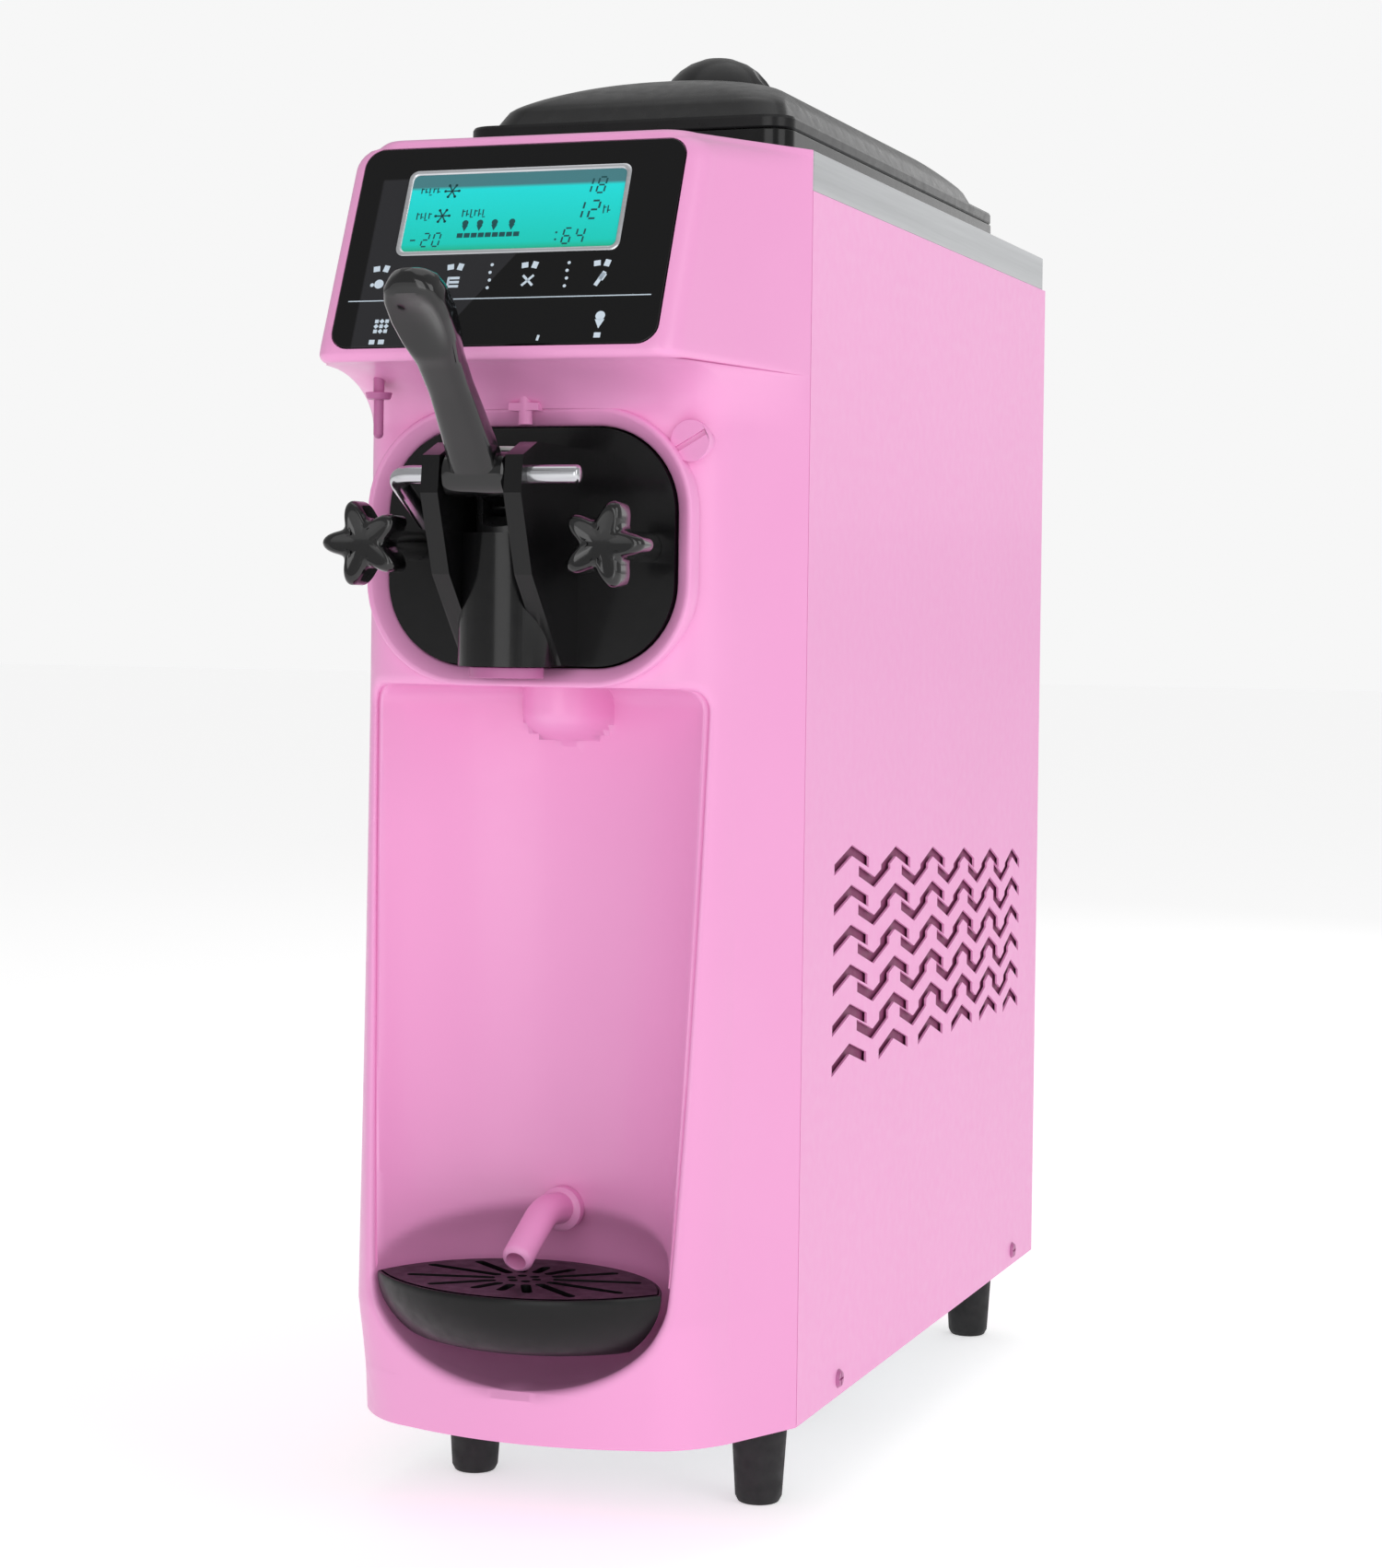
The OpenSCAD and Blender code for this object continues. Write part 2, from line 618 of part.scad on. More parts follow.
// A spur gear with slim trapezoidal teeth.
module spur_gear(teeth, phase) {
    r = gear_module * teeth / 2;
    pitch = 360 / teeth;
    polygon([for (i = [0 : teeth - 1]) each [for (p = [[-0.31, -1.2], [-0.15, 0.95], [0.15, 0.95], [0.31, -1.2]])
        let (a = phase + (i + p[0]) * pitch, q = r + p[1] * gear_module) [q * sin(a), q * cos(a)]]]);
}
module flat_gear(teeth, phase, z, bore) {
    translate([0, gear_y0 + gear_w, z]) rotate([90, 0, 0]) linear_extrude(gear_w) difference() {
        spur_gear(teeth, phase);
        circle(r = bore);
    }
}

module beater_shaft() at_seam() color(steel) {
    rod_y(shaft_r, bore_end - 6, gear_y0 + 22, 0, axis_z);
    block([-6, beater_y1 - 17, axis_z - 6], [6, bore_end - 6, axis_z + 6]);
    rod_y(11, gear_y0 - 4, gear_y0, 0, axis_z);
}
module shaft_seal() at_seam() color(rubber) {
    difference() {
        rod_y(13.9, bore_end - 4, bore_end, 0, axis_z);
        rod_y(shaft_r + 0.05, bore_end - 5, bore_end + 1, 0, axis_z);
    }
}
module gearbox_housing() at_seam() color([0.5, 0.52, 0.55]) {
    difference() {
        union() {
            front_plate(84, 112, 12, box_y0, box_y1, 430);
            block([-60, box_y0 + 4, shelf_z + 2], [60, box_y1 - 4, shelf_z + 10]);
        }
        front_plate(74, 102, 8, box_y0 + 8, box_y1 - 8, 430);
        rod_y(bearing_r, box_y0 - 1, box_y0 + 9, 0, axis_z);
        rod_y(bearing_r, box_y1 - 9, box_y1 - 3, 0, axis_z);
        rod_y(bearing_r, box_y0 + 2, box_y0 + 9, 0, pinion_z);
        rod_y(bearing_r, box_y1 - 9, box_y1 + 1, 0, pinion_z);
    }
}
module bearing(r, y0, y1, z) {
    difference() {
        rod_y(bearing_r - 0.02, y0, y1, 0, z);
        rod_y(r + 0.04, y0 - 1, y1 + 1, 0, z);
    }
}
module gearbox_bearings() at_seam() color(steel) {
    bearing(shaft_r, box_y0, box_y0 + 8, axis_z);
    bearing(shaft_r, box_y1 - 8, box_y1 - 3, axis_z);
    bearing(pinion_shaft_r, box_y0 + 2, box_y0 + 8, pinion_z);
    bearing(pinion_shaft_r, box_y1 - 8, box_y1, pinion_z);
}
module output_gear() at_seam() color([0.7, 0.62, 0.4]) {
    flat_gear(gear_teeth, 180, axis_z, shaft_r);
}
module pinion_shaft() at_seam() color(steel) {
    flat_gear(pinion_teeth, 180 / pinion_teeth, pinion_z, 1);
    rod_y(pinion_shaft_r, box_y0 + 3, belt_y + 12, 0, pinion_z);
}

// A grooved pulley and the belt that runs in it
belt_w = 10;
module pulley(r, y, z, bore) {
    translate([0, y, z]) rotate([90, 0, 0]) difference() {
        rotate_extrude() polygon([[0, -8], [r + 5, -8], [r + 5, -6], [r, -5.4], [r, 5.4], [r + 5, 6], [r + 5, 8], [0, 8]]);
        cylinder(r = bore, h = 40, center = true);
    }
}
motor_z = 305;
module driven_pulley() at_seam() color([0.45, 0.46, 0.48]) {
    difference() {
        pulley(driven_r, belt_y, pinion_z, pinion_shaft_r);
        for (a = [0 : 60 : 300]) translate([0, belt_y, pinion_z]) rotate([0, a, 0]) rod_y(6, -20, 20, 26, 0);
    }
}
module motor_pulley() at_seam() color([0.45, 0.46, 0.48]) {
    pulley(motor_pulley_r, belt_y, motor_z, motor_shaft_r - 0.01);
    rod_y(motor_shaft_r, belt_y - 9, motor_y0 + 30, 0, motor_z);
}
module belt_loop(t) {
    hull() {
        rod_y(driven_r + t, belt_y - belt_w / 2, belt_y + belt_w / 2, 0, pinion_z);
        rod_y(motor_pulley_r + t, belt_y - belt_w / 2, belt_y + belt_w / 2, 0, motor_z);
    }
}
module drive_belt() at_seam() color(rubber) {
    difference() {
        belt_loop(gap + 4);
        translate([0, -1, 0]) belt_loop(gap);
        translate([0, 1, 0]) belt_loop(gap);
    }
}

motor_y0 = 268;
motor_len = 78;
motor_r = 48;
motor_shaft_r = 6;
module drive_motor() at_seam() color([0.35, 0.37, 0.4]) {
    difference() {
        union() {
            rod_y(motor_r, motor_y0 + 6, motor_y0 + motor_len, 0, motor_z);
            rod_y(motor_r - 8, motor_y0, motor_y0 + motor_len + 5, 0, motor_z);
            rod_y(motor_r + 3, motor_y0 + 30, motor_y0 + 34, 0, motor_z);
            rod_y(motor_r + 3, motor_y0 + 50, motor_y0 + 54, 0, motor_z);
            for (y = [motor_y0 + 14, motor_y0 + motor_len - 22])
                block([-34, y, motor_z + 30], [34, y + 14, shelf_z]);
        }
        rod_y(motor_shaft_r + 0.05, motor_y0 - 1, motor_y0 + 40, 0, motor_z);
    }
}

// ---------------------------------------------------------------- cooling

comp_y = 128;
comp_r = 60;
comp_z0 = foot_h + 20;
module compressor() at_seam() color(black) translate([0, comp_y, 0]) {
    difference() {
        union() {
            translate([0, 0, comp_z0 + 30]) cylinder(r = comp_r, h = 90);
            intersection() {
                translate([0, 0, comp_z0 + 75]) sphere(r = 84);
                translate([0, 0, comp_z0 + 2]) cylinder(r = comp_r, h = 160);
            }
            block([-84, -52, comp_z0 + 4], [84, 52, comp_z0 + 8]);
        }
        for (sx = [-1, 1], sy = [-1, 1]) translate([sx * 74, sy * 42, comp_z0]) cylinder(r = 5.2, h = 20);
    }
    rod_x(3.6, comp_r - 4, comp_r + 8, 0, comp_z0 + 95);
    rod_x(3.6, -comp_r - 8, -comp_r + 4, 0, comp_z0 + 95);
    block([comp_r - 6, -22, comp_z0 + 40], [comp_r + 10, 22, comp_z0 + 78]);
}
module compressor_grommets() at_seam() color(rubber) {
    for (sx = [-1, 1], sy = [-1, 1]) translate([sx * 74, comp_y + sy * 42, foot_h + 1.5]) {
        cylinder(r = 10, h = comp_z0 + 4 - foot_h - 1.5);
        cylinder(r = 5, h = comp_z0 + 9 - foot_h - 1.5);
        translate([0, 0, comp_z0 + 8 - foot_h - 1.5]) cylinder(r1 = 8, r2 = 6, h = 4);
    }
}

cond_y0 = 352;
cond_y1 = 380;
cond_z0 = foot_h + 6;
cond_z1 = 246;
cond_hw = 84;
module condenser() at_seam() color(galvanised) {
    for (x = [-78 : 6 : 78]) block([x - 0.4, cond_y0 + 1, cond_z0 + 4], [x + 0.4, cond_y1 - 1, cond_z1 - 4]);
    for (sx = [-1, 1]) block([sx * cond_hw - 0.8, cond_y0, foot_h + 1.5], [sx * cond_hw + 0.8, cond_y1, cond_z1]);
    for (i = [0 : 5], y = [cond_y0 + 8, cond_y1 - 8])
        rod_x(4, -cond_hw - 6, cond_hw + 6, y, cond_z0 + 20 + i * 30);
}

fan_z = 158;
fan_r = 72;
module fan_shroud() at_seam() color(black) {
    difference() {
        block([-cond_hw - 1, cond_y1 + 1, foot_h + 1.5], [cond_hw + 1, cond_y1 + 16, cond_z1]);
        rod_y(fan_r + 3, cond_y1, cond_y1 + 20, 0, fan_z);
        block([-cond_hw + 2, cond_y1, foot_h + 5], [cond_hw - 2, cond_y1 + 13, cond_z1 - 3]);
    }
    for (sx = [-1, 1]) translate([0, cond_y1 + 16, fan_z]) rotate([0, sx * 35, 0]) {
        block([-84, 0, -5], [-18, 3, 5]);
        block([18, 0, -5], [84, 3, 5]);
    }
    difference() {
        rod_y(22, cond_y1 + 16, cond_y1 + 19, 0, fan_z);
        rod_y(8, cond_y1 + 15, cond_y1 + 20, 0, fan_z);
    }
}
module fan_motor() at_seam() color([0.3, 0.32, 0.35]) {
    difference() {
        rod_y(28, cond_y1 + 19, cond_y1 + 44, 0, fan_z);
        rod_y(3.05, cond_y1 + 18, cond_y1 + 36, 0, fan_z);
    }
}
module fan_blade() at_seam() color([0.75, 0.76, 0.78]) translate([0, cond_y1 + 8, fan_z]) {
    rotate([-90, 0, 0]) {
        cylinder(r = 18, h = 6, center = true);
        cylinder(r = 3, h = 26);
    }
    for (a = [0 : 72 : 288]) rotate([0, a, 0]) intersection() {
        rotate([0, 0, 24]) block([-22, -0.8, 14], [22, 0.8, fan_r]);
        rotate([-90, 0, 0]) cylinder(r = fan_r, h = 12, center = true);
    }
}

drier_pos = [-86, 300, 120];
module filter_drier() at_seam() color(copper) translate(drier_pos) {
    cylinder(r = 9, h = 70);
    translate([0, 0, 70]) cylinder(r1 = 9, r2 = 3, h = 10);
    translate([0, 0, -10]) cylinder(r1 = 3, r2 = 9, h = 10);
}

// Routes of the three pipes, rounded by a curve through each bend
function bend(p, n) = concat([p[0]], [for (i = [1 : len(p) - 2]) let (
    r = min(16, 0.45 * norm(p[i] - p[i - 1]), 0.45 * norm(p[i + 1] - p[i])),
    a = p[i] + r * unit(p[i - 1] - p[i]), c = p[i] + r * unit(p[i + 1] - p[i]))
    each bezier(a, p[i], c, n)], [p[len(p) - 1]]);
suction_route = [[coil_r + 6, coil_y1 + 6, axis_z], [86, 158, 430], [86, 170, 340], [86, 200, 240],
    [88, comp_y, 190], [88, comp_y, comp_z0 + 95], [comp_r + 8.3, comp_y, comp_z0 + 95]];
discharge_route = [[-comp_r - 8.3, comp_y, comp_z0 + 95], [-88, comp_y, comp_z0 + 95],
    [-90, comp_y, 210], [-92, 220, 236], [-93, 330, 236], [-93, cond_y0 + 8, 232]];
liquid_route = [[-93, cond_y0 + 8, 80], [-93, 330, 84], [-86, 300, 92], [-86, 300, 108]];
capillary_route = [[-86, 300, 202], [-86, 290, 250], [-88, 230, 330], [-88, 170, 400], [-60, 156, 420]];
module refrigerant_pipes() at_seam() color(copper) {
    swept_tube(bend(suction_route, 4), 4);
    swept_tube(bend(discharge_route, 4), 3);
    swept_tube(bend(liquid_route, 4), 2.4);
    swept_tube(bend(capillary_route, 4), 1.6);
}

module electrical_box() at_seam() color(galvanised) {
    difference() {
        block([-70, 384, 400], [70, 432, 560]);
        block([-68.5, 385.5, 401.5], [68.5, 433, 558.5]);
    }
    color([0.12, 0.4, 0.2]) block([-60, 385.4, 415], [60, 388, 545]);
    color([0.2, 0.2, 0.25]) for (x = [-40, 0, 40]) block([x - 11, 387.9, 440], [x + 11, 412, 480]);
}
rocker_r = 6.4;
module power_switch() at_seam() color(rubber) {
    translate([switch_x, case_d + 5 - rocker_r, inlet_z]) difference() {
        rod_x(rocker_r, -9.5, 9.5, 0, 0);
        block([-12, -20, -20], [12, 1.5, 20]);
        block([-12, 4, 0.5], [12, 12, 12]);
    }
    translate([switch_x, case_d + 5 - rocker_r, inlet_z]) rod_x(2, -10.3, 10.3, 0, 0);
    translate([switch_x, case_d + 5 - rocker_r, inlet_z]) block([-9.5, -1.5, -5], [9.5, 2.2, 5]);
}
module mains_inlet() at_seam() color(rubber) {
    translate([inlet_x, case_d, inlet_z]) difference() {
        union() {
            block([-14, -20, -10], [14, 3, 10]);
            block([-17, 0, -13], [17, 3, 13]);
        }
        block([-12, -16, -8], [12, 4, 8]);
    }
    for (x = [-7, 0, 7]) color(steel)
        translate([inlet_x + x, case_d - 17, inlet_z + (x == 0 ? 2.5 : -2.5)]) block([-1, 0, -2], [1, 15, 2]);
    color(rubber) translate([switch_x, case_d, inlet_z]) difference() {
        block([-13, -16, -10], [13, 2, 10]);
        block([-9.8, -13, -7.3], [9.8, 3, 7.3]);
        rod_x(2.06, -10.5, 10.5, 5 - rocker_r, 0);
    }
}

// ---------------------------------------------------------------- dispensing door

stud_x = 55;
yoke_in = 15;
yoke_out = 23;
pivot_z = 470;
barrel_top = 446;
barrel_r = 21;
valve_bore_r = 14;
yoke_profile = [[door_reach - 1, 484], [116, 484], [131, 478], [133, 462], [120, 428], [86, 389.5], [door_reach - 1, 389.5]];
module yoke_slab(x0, x1) {
    translate([x0, 0, 0]) rotate([90, 0, 90]) linear_extrude(x1 - x0)
        polygon([for (p = yoke_profile) [-p[0], p[1]]]);
}
module door_block() at_seam() color(black) {
    difference() {
        union() {
            front_plate(2 * door_hw, 2 * door_hh, 37, -door_reach, -flange_reach, axis_z);
            rod_y(bore_r - 0.6, -flange_reach - 0.1, -flange_reach + 6, 0, axis_z);
            yoke_slab(-yoke_out, -yoke_in);
            yoke_slab(yoke_in, yoke_out);
            intersection() {
                yoke_slab(-yoke_in - 0.1, yoke_in + 0.1);
                block([-yoke_in - 0.1, -150, 380], [yoke_in + 0.1, -door_reach + 1, 406]);
            }
            translate([0, -plunger_reach, 389]) cylinder(r = barrel_r, h = barrel_top - 389);
            block([-barrel_r, -plunger_reach, 389], [barrel_r, -door_reach + 1, barrel_top]);
        }
        translate([0, -plunger_reach, 380]) cylinder(r = valve_bore_r, h = 90);
        rod_y(9, -plunger_reach, -flange_reach + 7, 0, axis_z - 30);
        for (sx = [-1, 1]) rod_y(4.5, -door_reach - 1, -flange_reach + 1, sx * stud_x, axis_z);
        rod_x(pin_r + 0.05, -40, 40, -pivot_reach, pivot_z);
        difference() {
            rod_y(bore_r + 1, -flange_reach + 2, -flange_reach + 4.5, 0, axis_z);
            rod_y(bore_r - 3, -flange_reach + 1, -flange_reach + 5, 0, axis_z);
        }
    }
}
module door_seal() at_seam() color(rubber) {
    translate([0, -flange_reach + 3.25, axis_z]) rotate([90, 0, 0]) rotate_extrude()
        translate([bore_r - 1.7, 0]) circle(r = 1.2, $fn = 20);
}
module door_studs() at_seam() color(steel) {
    for (sx = [-1, 1]) rod_y(4, -flange_reach - 44, -flange_reach + 6, sx * stud_x, axis_z);
}

star_z = 16;
lobe_at = 13.8;
lobe_r = 5.2;
knob_reach = 124.5;
neck_r = 6.5;
module star_knob(s) {
    at_seam() color(black) translate([s * stud_x, -knob_reach, axis_z]) rotate([-90, 0, 0]) difference() {
        union() {
            linear_extrude(star_z) {
                circle(r = 10);
                for (a = [0 : 72 : 288]) rotate(a + (s < 0 ? -36 : 0)) {
                    translate([lobe_at, 0]) circle(r = lobe_r);
                    polygon([[0, -9], [lobe_at, -lobe_r], [lobe_at, lobe_r], [0, 9]]);
                }
            }
            translate([0, 0, star_z - 1]) cylinder(r1 = 10, r2 = neck_r, h = 7);
            cylinder(r = neck_r, h = knob_reach - door_reach - 0.3);
        }
        translate([0, 0, 20]) cylinder(r = 4.05, h = 50);
    }
}
module star_knob_left() star_knob(-1);
module star_knob_right() star_knob(1);

pin_r = 4;
pin_left = -44;
pin_right = 44;
pin_leg = 39;
pin_droop = 29;
module pivot_pin() at_seam() color(steel) {
    rod_x(pin_r, pin_left, pin_right, -pivot_reach, pivot_z);
    translate([pin_left, -pivot_reach, pivot_z]) {
        translate([pin_r, 0, 0]) rotate([-90 - pin_droop, 0, 0]) cylinder(r = pin_r - 0.3, h = pin_leg);
    }
}

// At rest the finger points this far below level, and the lever swings twice that far.
finger_drop = 20;
finger_len = (pivot_reach - plunger_reach) / cos(finger_drop);
finger_z = pivot_z - finger_len * sin(finger_drop);
finger_r = 5;
plunger_top = 481;
plunger_z0 = 396;
module valve_plunger() at_seam() color(white) translate([0, -plunger_reach, 0]) {
    difference() {
        translate([0, 0, plunger_z0]) cylinder(r = plunger_r, h = plunger_top - plunger_z0);
        translate([-7, 0, finger_z]) rotate([90, 0, 90]) linear_extrude(14)
            polygon([[8, -5.5], [8, 5.5], [-6, 5.5], [-16, 11.5], [-16, -11.5], [-6, -5.5]]);
        for (z = ring_z) translate([0, 0, z]) difference() {
            cylinder(r = plunger_r + 1, h = 3, center = true);
            cylinder(r = plunger_r - 2.2, h = 4, center = true);
        }
    }
}
ring_z = [402, 440];
module plunger_rings() at_seam() color(rubber) translate([0, -plunger_reach, 0]) {
    for (z = ring_z) translate([0, 0, z]) rotate_extrude()
        translate([plunger_r - 0.86, 0]) circle(r = 1.2, $fn = 20);
}

// The lever's grip stands at 45 degrees in front of the pivot.
lever_lean = 44;
lever_len = 92;
module dispense_lever() at_seam() color(black) translate([0, -pivot_reach, pivot_z]) {
    difference() {
        union() {
            rod_x(9.5, -14.6, 14.6, 0, 0);
            rotate([lever_lean, 0, 0]) {
                hull() {
                    rod_x(8.5, -11, 11, 0, 0);
                    translate([0, 2, lever_len - 34]) rod_x(6.5, -9, 9, 0, 0);
                }
                hull() {
                    translate([0, 2, lever_len - 34]) rod_x(6.5, -9, 9, 0, 0);
                    translate([0, 0, lever_len - 14]) scale([1, 1, 1]) rod_x(7.5, -13, 13, 0, 0);
                    translate([0, 0, lever_len + 8]) rod_x(8.5, -10, 10, 0, 0);
                }
            }
            rotate([-finger_drop, 0, 0]) {
                rod_x(finger_r, -6.4, 6.4, finger_len, 0);
                block([-6.4, 4, -3], [6.4, finger_len, 3]);
            }
        }
        rod_x(pin_r + 0.05, -20, 20, 0, 0);
    }
}

module nozzle_cap() at_seam() color(black) translate([0, -plunger_reach, 0]) {
    difference() {
        union() {
            translate([0, 0, 384]) cylinder(r = 16, h = 4.7);
            translate([0, 0, 388]) cylinder(r = valve_bore_r - 0.1, h = 6);
        }
        translate([0, 0, 380]) linear_extrude(20) for (a = [0 : 60 : 300]) rotate(a) slot_2d(0, 8, 4);
    }
}

// ---------------------------------------------------------------- drain, tray and grille

spout_r = 7;
spout_z = 143;
spout_tip = [0, -69, 131];
spout_elbow = [0, -40, 146];
module spout_run(a, b) {
    v = b - a;
    translate(a) rotate([acos(v[2] / norm(v)), 0, v[1] < 0 ? 0 : 180]) cylinder(r = spout_r, h = norm(v));
}
module drain_spout() at_seam() color(pink) {
    rod_y(spout_r, -21, 6, 0, spout_z);
    rod_y(10, -24, -18, 0, spout_z);
    spout_run([0, -22, spout_z], spout_elbow);
    translate(spout_elbow) sphere(r = spout_r + 0.3);
    spout_run(spout_elbow, spout_tip);
    translate(spout_tip) sphere(r = spout_r - 0.5);
}

// The tray's plan is a lens: the overlap of a back circle and a front circle.
tray_back = [89.3, 70.1];
tray_front = [21, 85];
tray_z0 = 91;
tray_z1 = recess_z0 + 2;
tray_draw = 13;
module lens(z0, z1, t, draw) {
    intersection() {
        translate([0, -tray_back[0], z0]) cylinder(r1 = tray_back[1] - draw - t, r2 = tray_back[1] - t, h = z1 - z0);
        translate([0, -tray_front[0], z0]) cylinder(r1 = tray_front[1] - draw - 8 - t, r2 = tray_front[1] - t, h = z1 - z0);
    }
}
module drip_tray() at_seam() color(black) {
    difference() {
        lens(tray_z0, tray_z1, 0.6, tray_draw);
        intersection() {
            lens(tray_z0, tray_z1 + 0.1, 3.2, tray_draw);
            block([-90, -120, tray_z0 + 2.5], [90, 0, tray_z1 + 1]);
        }
        lens(tray_z1 - 3, tray_z1 + 0.1, 2, 0);
    }
}
grille_c = 64;
module drip_grille() at_seam() color(black) {
    difference() {
        lens(tray_z1 - 3, tray_z1 + 0.4, 2.5, 0);
        translate([0, -grille_c, tray_z1 - 4]) linear_extrude(6) {
            for (i = [0 : 13]) let (a = 360 * (i + 0.5) / 14, reach = min(52, 27 / max(abs(sin(a)), 0.3)))
                rotate(a) slot_2d(15, reach - 2, 4.6);
            for (a = [0 : 60 : 300]) rotate(a) translate([6, 0]) circle(r = 2.2);
        }
    }
}

base_pan();
rubber_feet();
front_bulkhead();
drive_shelf();
side_panel_left();
side_panel_right();
rear_panel();
panel_screws();
top_deck();
front_cover();
cover_lock();
brush_hook();
cover_clip();
control_glass();
display_module();
control_board();
hopper_tank();
hopper_frame();
hopper_gasket();
hopper_lid();
air_tube();
freezing_cylinder();
evaporator_coil();
insulation_jacket();
beater();
beater_shaft();
shaft_seal();
gearbox_housing();
gearbox_bearings();
output_gear();
pinion_shaft();
driven_pulley();
drive_belt();
motor_pulley();
drive_motor();
compressor();
compressor_grommets();
condenser();
fan_shroud();
fan_motor();
fan_blade();
filter_drier();
refrigerant_pipes();
electrical_box();
power_switch();
mains_inlet();
door_block();
door_seal();
door_studs();
valve_plunger();
plunger_rings();
dispense_lever();
pivot_pin();
nozzle_cap();
star_knob_left();
star_knob_right();
drain_spout();
drip_tray();
drip_grille();
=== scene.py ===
"""Looks of the soft-serve ice cream maker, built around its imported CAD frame.

Row frame in metres: +X to the operator's right, -Y to the operator, +Z up. Most shapes are worked
out in millimetres from the seam between the front cover and the side panels: x to the right, reach
forward of the seam, and z above the floor. at() turns such a point into the row frame.
"""

import json
import math

import bmesh
import bpy
import numpy as np
from mathutils import Matrix, Vector


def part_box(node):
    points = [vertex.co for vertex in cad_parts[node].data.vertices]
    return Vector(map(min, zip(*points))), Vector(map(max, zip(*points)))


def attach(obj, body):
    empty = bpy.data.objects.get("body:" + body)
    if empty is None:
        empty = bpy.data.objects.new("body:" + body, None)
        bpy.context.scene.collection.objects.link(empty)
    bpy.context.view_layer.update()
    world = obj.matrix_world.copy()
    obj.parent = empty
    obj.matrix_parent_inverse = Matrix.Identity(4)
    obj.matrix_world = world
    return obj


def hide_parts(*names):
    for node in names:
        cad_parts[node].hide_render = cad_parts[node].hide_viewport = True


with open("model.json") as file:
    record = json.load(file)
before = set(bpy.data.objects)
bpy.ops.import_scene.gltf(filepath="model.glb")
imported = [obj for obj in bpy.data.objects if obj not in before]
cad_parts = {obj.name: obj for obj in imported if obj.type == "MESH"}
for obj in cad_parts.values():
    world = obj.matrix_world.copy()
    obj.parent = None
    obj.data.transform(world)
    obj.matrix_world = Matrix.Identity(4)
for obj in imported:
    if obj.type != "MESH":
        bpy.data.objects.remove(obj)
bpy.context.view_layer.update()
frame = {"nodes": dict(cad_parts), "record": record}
NODES = frame["nodes"]
MM = 0.001
PANEL_GAP = 0.6
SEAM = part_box("side_panel_right")[0].y - PANEL_GAP * MM


def box_mm(node):
    """A CAD node's corners in seam millimetres: x, y backwards from the seam, z."""
    return [Vector((c.x / MM, (c.y - SEAM) / MM, c.z / MM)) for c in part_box(node)]


HALF_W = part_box("side_panel_right")[1].x / MM
BASE_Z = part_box("side_panel_right")[0].z / MM
DECK_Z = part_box("top_deck")[1].z / MM
DOOR_LO, DOOR_HI = box_mm("door_block")
DOOR_W = DOOR_HI.x - DOOR_LO.x
AXIS_Z = (box_mm("freezing_cylinder")[0].z + box_mm("freezing_cylinder")[1].z) / 2


def at(x, reach, z):
    """A point in the row frame from x, reach in front of the seam, and height."""
    return Vector((x * MM, SEAM - reach * MM, z * MM))


# ---------------------------------------------------------------- camera and light

WHITE = (1, 1, 1, 1)


def add_camera():
    """The photograph's viewing angle: from the front right, level with the machine's middle."""
    yaw, pitch, roll = (math.radians(a) for a in (19.864, 0.707, 0.763))
    forward = Vector(
        (-math.sin(yaw) * math.cos(pitch), math.cos(yaw) * math.cos(pitch), -math.sin(pitch))
    )
    right = Vector((math.cos(yaw), math.sin(yaw), 0))
    up = right.cross(forward)
    across = right * math.cos(roll) + up * math.sin(roll)
    data = bpy.data.cameras.new("camera")
    data.lens = 73.0
    data.shift_y = -0.0792
    camera = bpy.data.objects.new("camera", data)
    bpy.context.scene.collection.objects.link(camera)
    turn = Matrix((across, across.cross(forward), -forward)).transposed()
    camera.matrix_world = Matrix.Translation((0.5397, -1.4743, 0.4097)) @ turn.to_4x4()
    bpy.context.scene.camera = camera


def area_light(name, place, target, size, watts):
    """A white rectangle of light, turned to its target."""
    data = bpy.data.lights.new(name, "AREA")
    data.shape = "RECTANGLE"
    data.size, data.size_y = size
    data.energy = watts
    light = bpy.data.objects.new(name, data)
    bpy.context.scene.collection.objects.link(light)
    light.location = place
    light.rotation_euler = (Vector(target) - Vector(place)).to_track_quat("-Z", "Y").to_euler()


def add_studio():
    """A pale product studio: the world looks as pale as the floor, and lights half as strongly."""
    world = bpy.data.worlds.new("studio")
    bpy.context.scene.world = world
    world.use_nodes = True
    tree = world.node_tree
    lit = tree.nodes["Background"]
    seen = tree.nodes.new("ShaderNodeBackground")
    for background, strength in ((lit, 0.46), (seen, 0.93)):
        background.inputs["Color"].default_value = WHITE
        background.inputs["Strength"].default_value = strength
    rays = tree.nodes.new("ShaderNodeLightPath")
    mix = tree.nodes.new("ShaderNodeMixShader")
    tree.links.new(rays.outputs["Is Camera Ray"], mix.inputs[0])
    tree.links.new(lit.outputs[0], mix.inputs[1])
    tree.links.new(seen.outputs[0], mix.inputs[2])
    tree.links.new(mix.outputs[0], tree.nodes["World Output"].inputs["Surface"])
    bpy.context.scene.view_settings.view_transform = "Standard"
    area_light("key", (2.4, -1.0, 1.3), (0, 0, 0.35), (1.4, 1.8), 14)
    area_light("front", (0.5, -2.6, 0.7), (0, 0, 0.35), (1.6, 1.6), 14)
    area_light("top", (0.1, 0.2, 2.4), (0, 0, 0.3), (1.6, 2.2), 7)
    area_light("back", (0.8, 2.4, 1.2), (0, 0, 0.4), (2.0, 1.4), 6)
    bpy.ops.mesh.primitive_plane_add(size=40, location=(0, 0, 0))
    floor = bpy.context.object
    floor.name = "floor"
    floor.data.materials.append(floor_material())


# ---------------------------------------------------------------- materials


